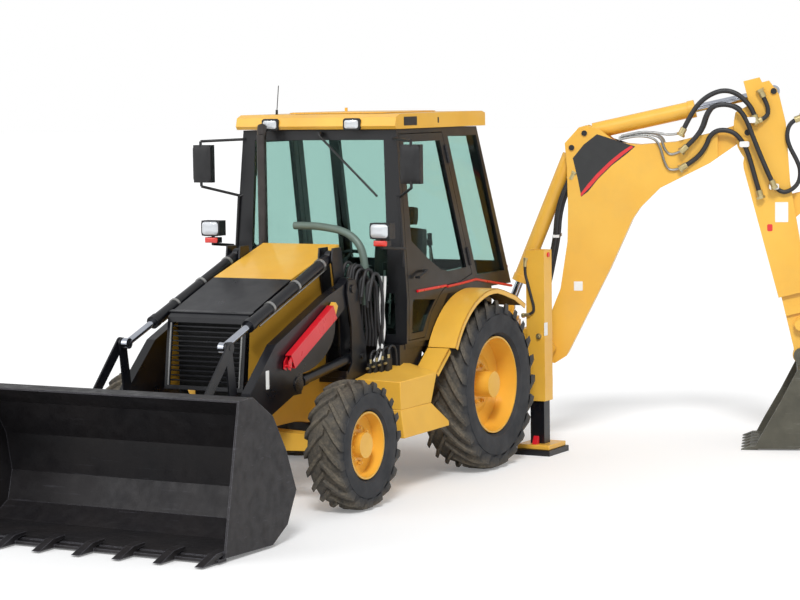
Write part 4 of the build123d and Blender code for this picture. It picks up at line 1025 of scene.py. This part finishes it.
def hoe_lines():
    """Steel lines bent over the boom's crest."""
    mid = [(0.98, 2.640), (1.10, 2.672), (1.25, 2.668), (1.344, 2.640), (1.366, 2.539), (1.430, 2.476),
           (1.530, 2.535)]
    low = [(0.98, 2.625), (1.10, 2.655), (1.24, 2.650), (1.325, 2.600), (1.375, 2.398), (1.429, 2.350),
           (1.520, 2.383)]
    top = [(1.00, 2.655), (1.15, 2.692), (1.30, 2.684), (1.42, 2.656), (1.517, 2.678)]
    bm = bmesh.new()
    for route, lateral in ((mid, 0.150), (low, 0.163), (top, 0.165), (mid, -0.160)):
        add_tube(bm, spline_points([hoe(r, z, lateral) for r, z in route]), 0.011, 10)
    put("boom_steel_lines", bm, "line_steel", "boom", Matrix())


def machine_hoses():
    """Hoses and a curved duct around the left tower and the cab's front."""
    duct = [(-0.12, -1.15, 2.025), (0.02, -1.16, 2.028), (0.16, -1.17, 2.02), (0.351, -1.17, 1.99),
            (0.476, -1.17, 1.90), (0.520, -1.17, 1.769), (0.523, -1.17, 1.586), (0.52, -1.17, 1.42)]
    bm = bmesh.new()
    add_tube(bm, spline_points([at(*p) for p in duct]), 0.030, 18)
    put("curved_duct", bm, "hose_green", "chassis", Matrix())
    random.seed(7)
    for k in range(9):
        x = 0.40 + 0.030 * k
        drift = random.uniform(-0.02, 0.02)
        top = 1.80 - 0.02 * k + random.uniform(-0.05, 0.05)
        route = [(x, -1.335 + 0.04 * (k % 2), top - 0.22), (x + drift, -1.29, top - 0.06),
                 (x + 0.01, -1.245, top), (x + 0.03, -1.20, top - 0.04),
                 (x + 0.035 + drift, -1.175, top - 0.20), (x + 0.03, -1.17, top - 0.42),
                 (x + 0.02 - drift, -1.16, 1.22), (x + 0.02, -1.15, 1.10)]
        hose(f"tower_hose_{k}", [at(*p) for p in route], 0.013, "chassis")
    for k, x in enumerate((0.625, 0.660)):
        route = [(x, -1.100, 1.640), (x + 0.010, -1.125, 1.520), (x - 0.004, -1.140, 1.380),
                 (x + 0.014, -1.140, 1.240), (x - 0.006, -1.150, 1.110), (x + 0.010, -1.200, 1.020),
                 (x, -1.240, 0.985)]
        hose(f"pale_hose_{k}", [at(*p) for p in route], 0.011, "chassis", "band_white")


def tilt_lines():
    """Clamp bands and steel lines on the tilt cylinders."""
    for word, side in SIDES:
        start = Vector(JOINTS["tilt_barrel_turn"]["pos_m"]) - ORIGIN
        axis = Vector(JOINTS["tilt_rod_slide"]["axis"])
        start.x = side * 0.418
        bands, lines = bmesh.new(), bmesh.new()
        for distance in (0.16, 0.55, 0.93):
            centre = start + axis * distance
            add_rod(bands, centre - axis * 0.012, centre + axis * 0.012, 0.050, sides=28)
        normal = Vector((0, -axis.z, axis.y))
        for offset, near, far in ((0.010, 0.10, 1.12), (-0.016, 0.10, 0.30)):
            row = start + Vector((side * offset, 0, 0)) + normal * 0.056
            add_rod(lines, row + axis * near, row + axis * far, 0.007, sides=10)
        put(f"tilt_bands_{word}", bands, "line_steel", "tilt_barrels")
        put(f"tilt_line_{word}", lines, "line_steel", "tilt_barrels")


# ---------- plates and marks ----------
def marks():
    """Letterless plates and colour fields where the machine carries them."""
    knee = [(0.794, 2.674), (1.120, 2.566), (1.050, 2.505), (0.918, 2.405), (0.800, 2.290), (0.715, 2.185),
            (0.655, 2.140), (0.628, 2.284), (0.585, 2.471), (0.679, 2.586)]
    curve_in = [(1.085, 2.575), (1.000, 2.520), (0.900, 2.440), (0.790, 2.335), (0.715, 2.250),
                (0.648, 2.165)]
    curve_out = [(0.652, 2.140), (0.735, 2.225), (0.812, 2.312), (0.922, 2.418), (1.020, 2.498),
                 (1.105, 2.560)]
    for word, side in SIDES:
        for label, outline, finish, thick in (("field", knee, "decal_black", 0.0012),
                                              ("band", curve_in + curve_out, "decal_red", 0.0022)):
            bm = bmesh.new()
            add_prism(bm, outline, side * 0.1448, side * (0.1452 + thick))
            put(f"knee_{label}_{word}", bm, finish, "boom", HOE_FRAME, smooth=False)
    caps = (("boom", ((0.686, 2.684), (0.576, 2.562)), 0.153, 0.159, 0.024),
            ("stick", ((2.290, 3.020), (2.070, 2.673)), 0.139, 0.146, 0.026))
    for body, spots, near, far, radius in caps:
        rows = [((side * near, r, z), (side * far, r, z), radius) for r, z in spots for side in (1, -1)]
        rods(f"{body}_pin_caps", rows, "black_plastic", body, HOE_FRAME)
    side_plates("boom_blank_plates", (0.1450, 0.623, 1.370), (0.075, 0.08, PLATE, 0.004), "blank_plate",
                "boom", HOE_FRAME)
    side_plates("stick_blank_plates", (0.1302, 2.355, 1.995), (0.11, 0.17, PLATE, 0.006), "blank_plate",
                "stick", HOE_FRAME)
    side_plates("stick_red_marks", (0.1302, 2.256, 1.863), (0.045, 0.06, PLATE, 0.012), "decal_red",
                "stick", HOE_FRAME)



stage()
wheels()
lamps()
mirrors()
roof_trim()
cab_trim()
seat_set()
cab_inside()
fender_panels()
side_box_panels()
valve_banks()
stabiliser_details()
front_details()
hoe_hoses()
hoe_lines()
machine_hoses()
tilt_lines()
marks()
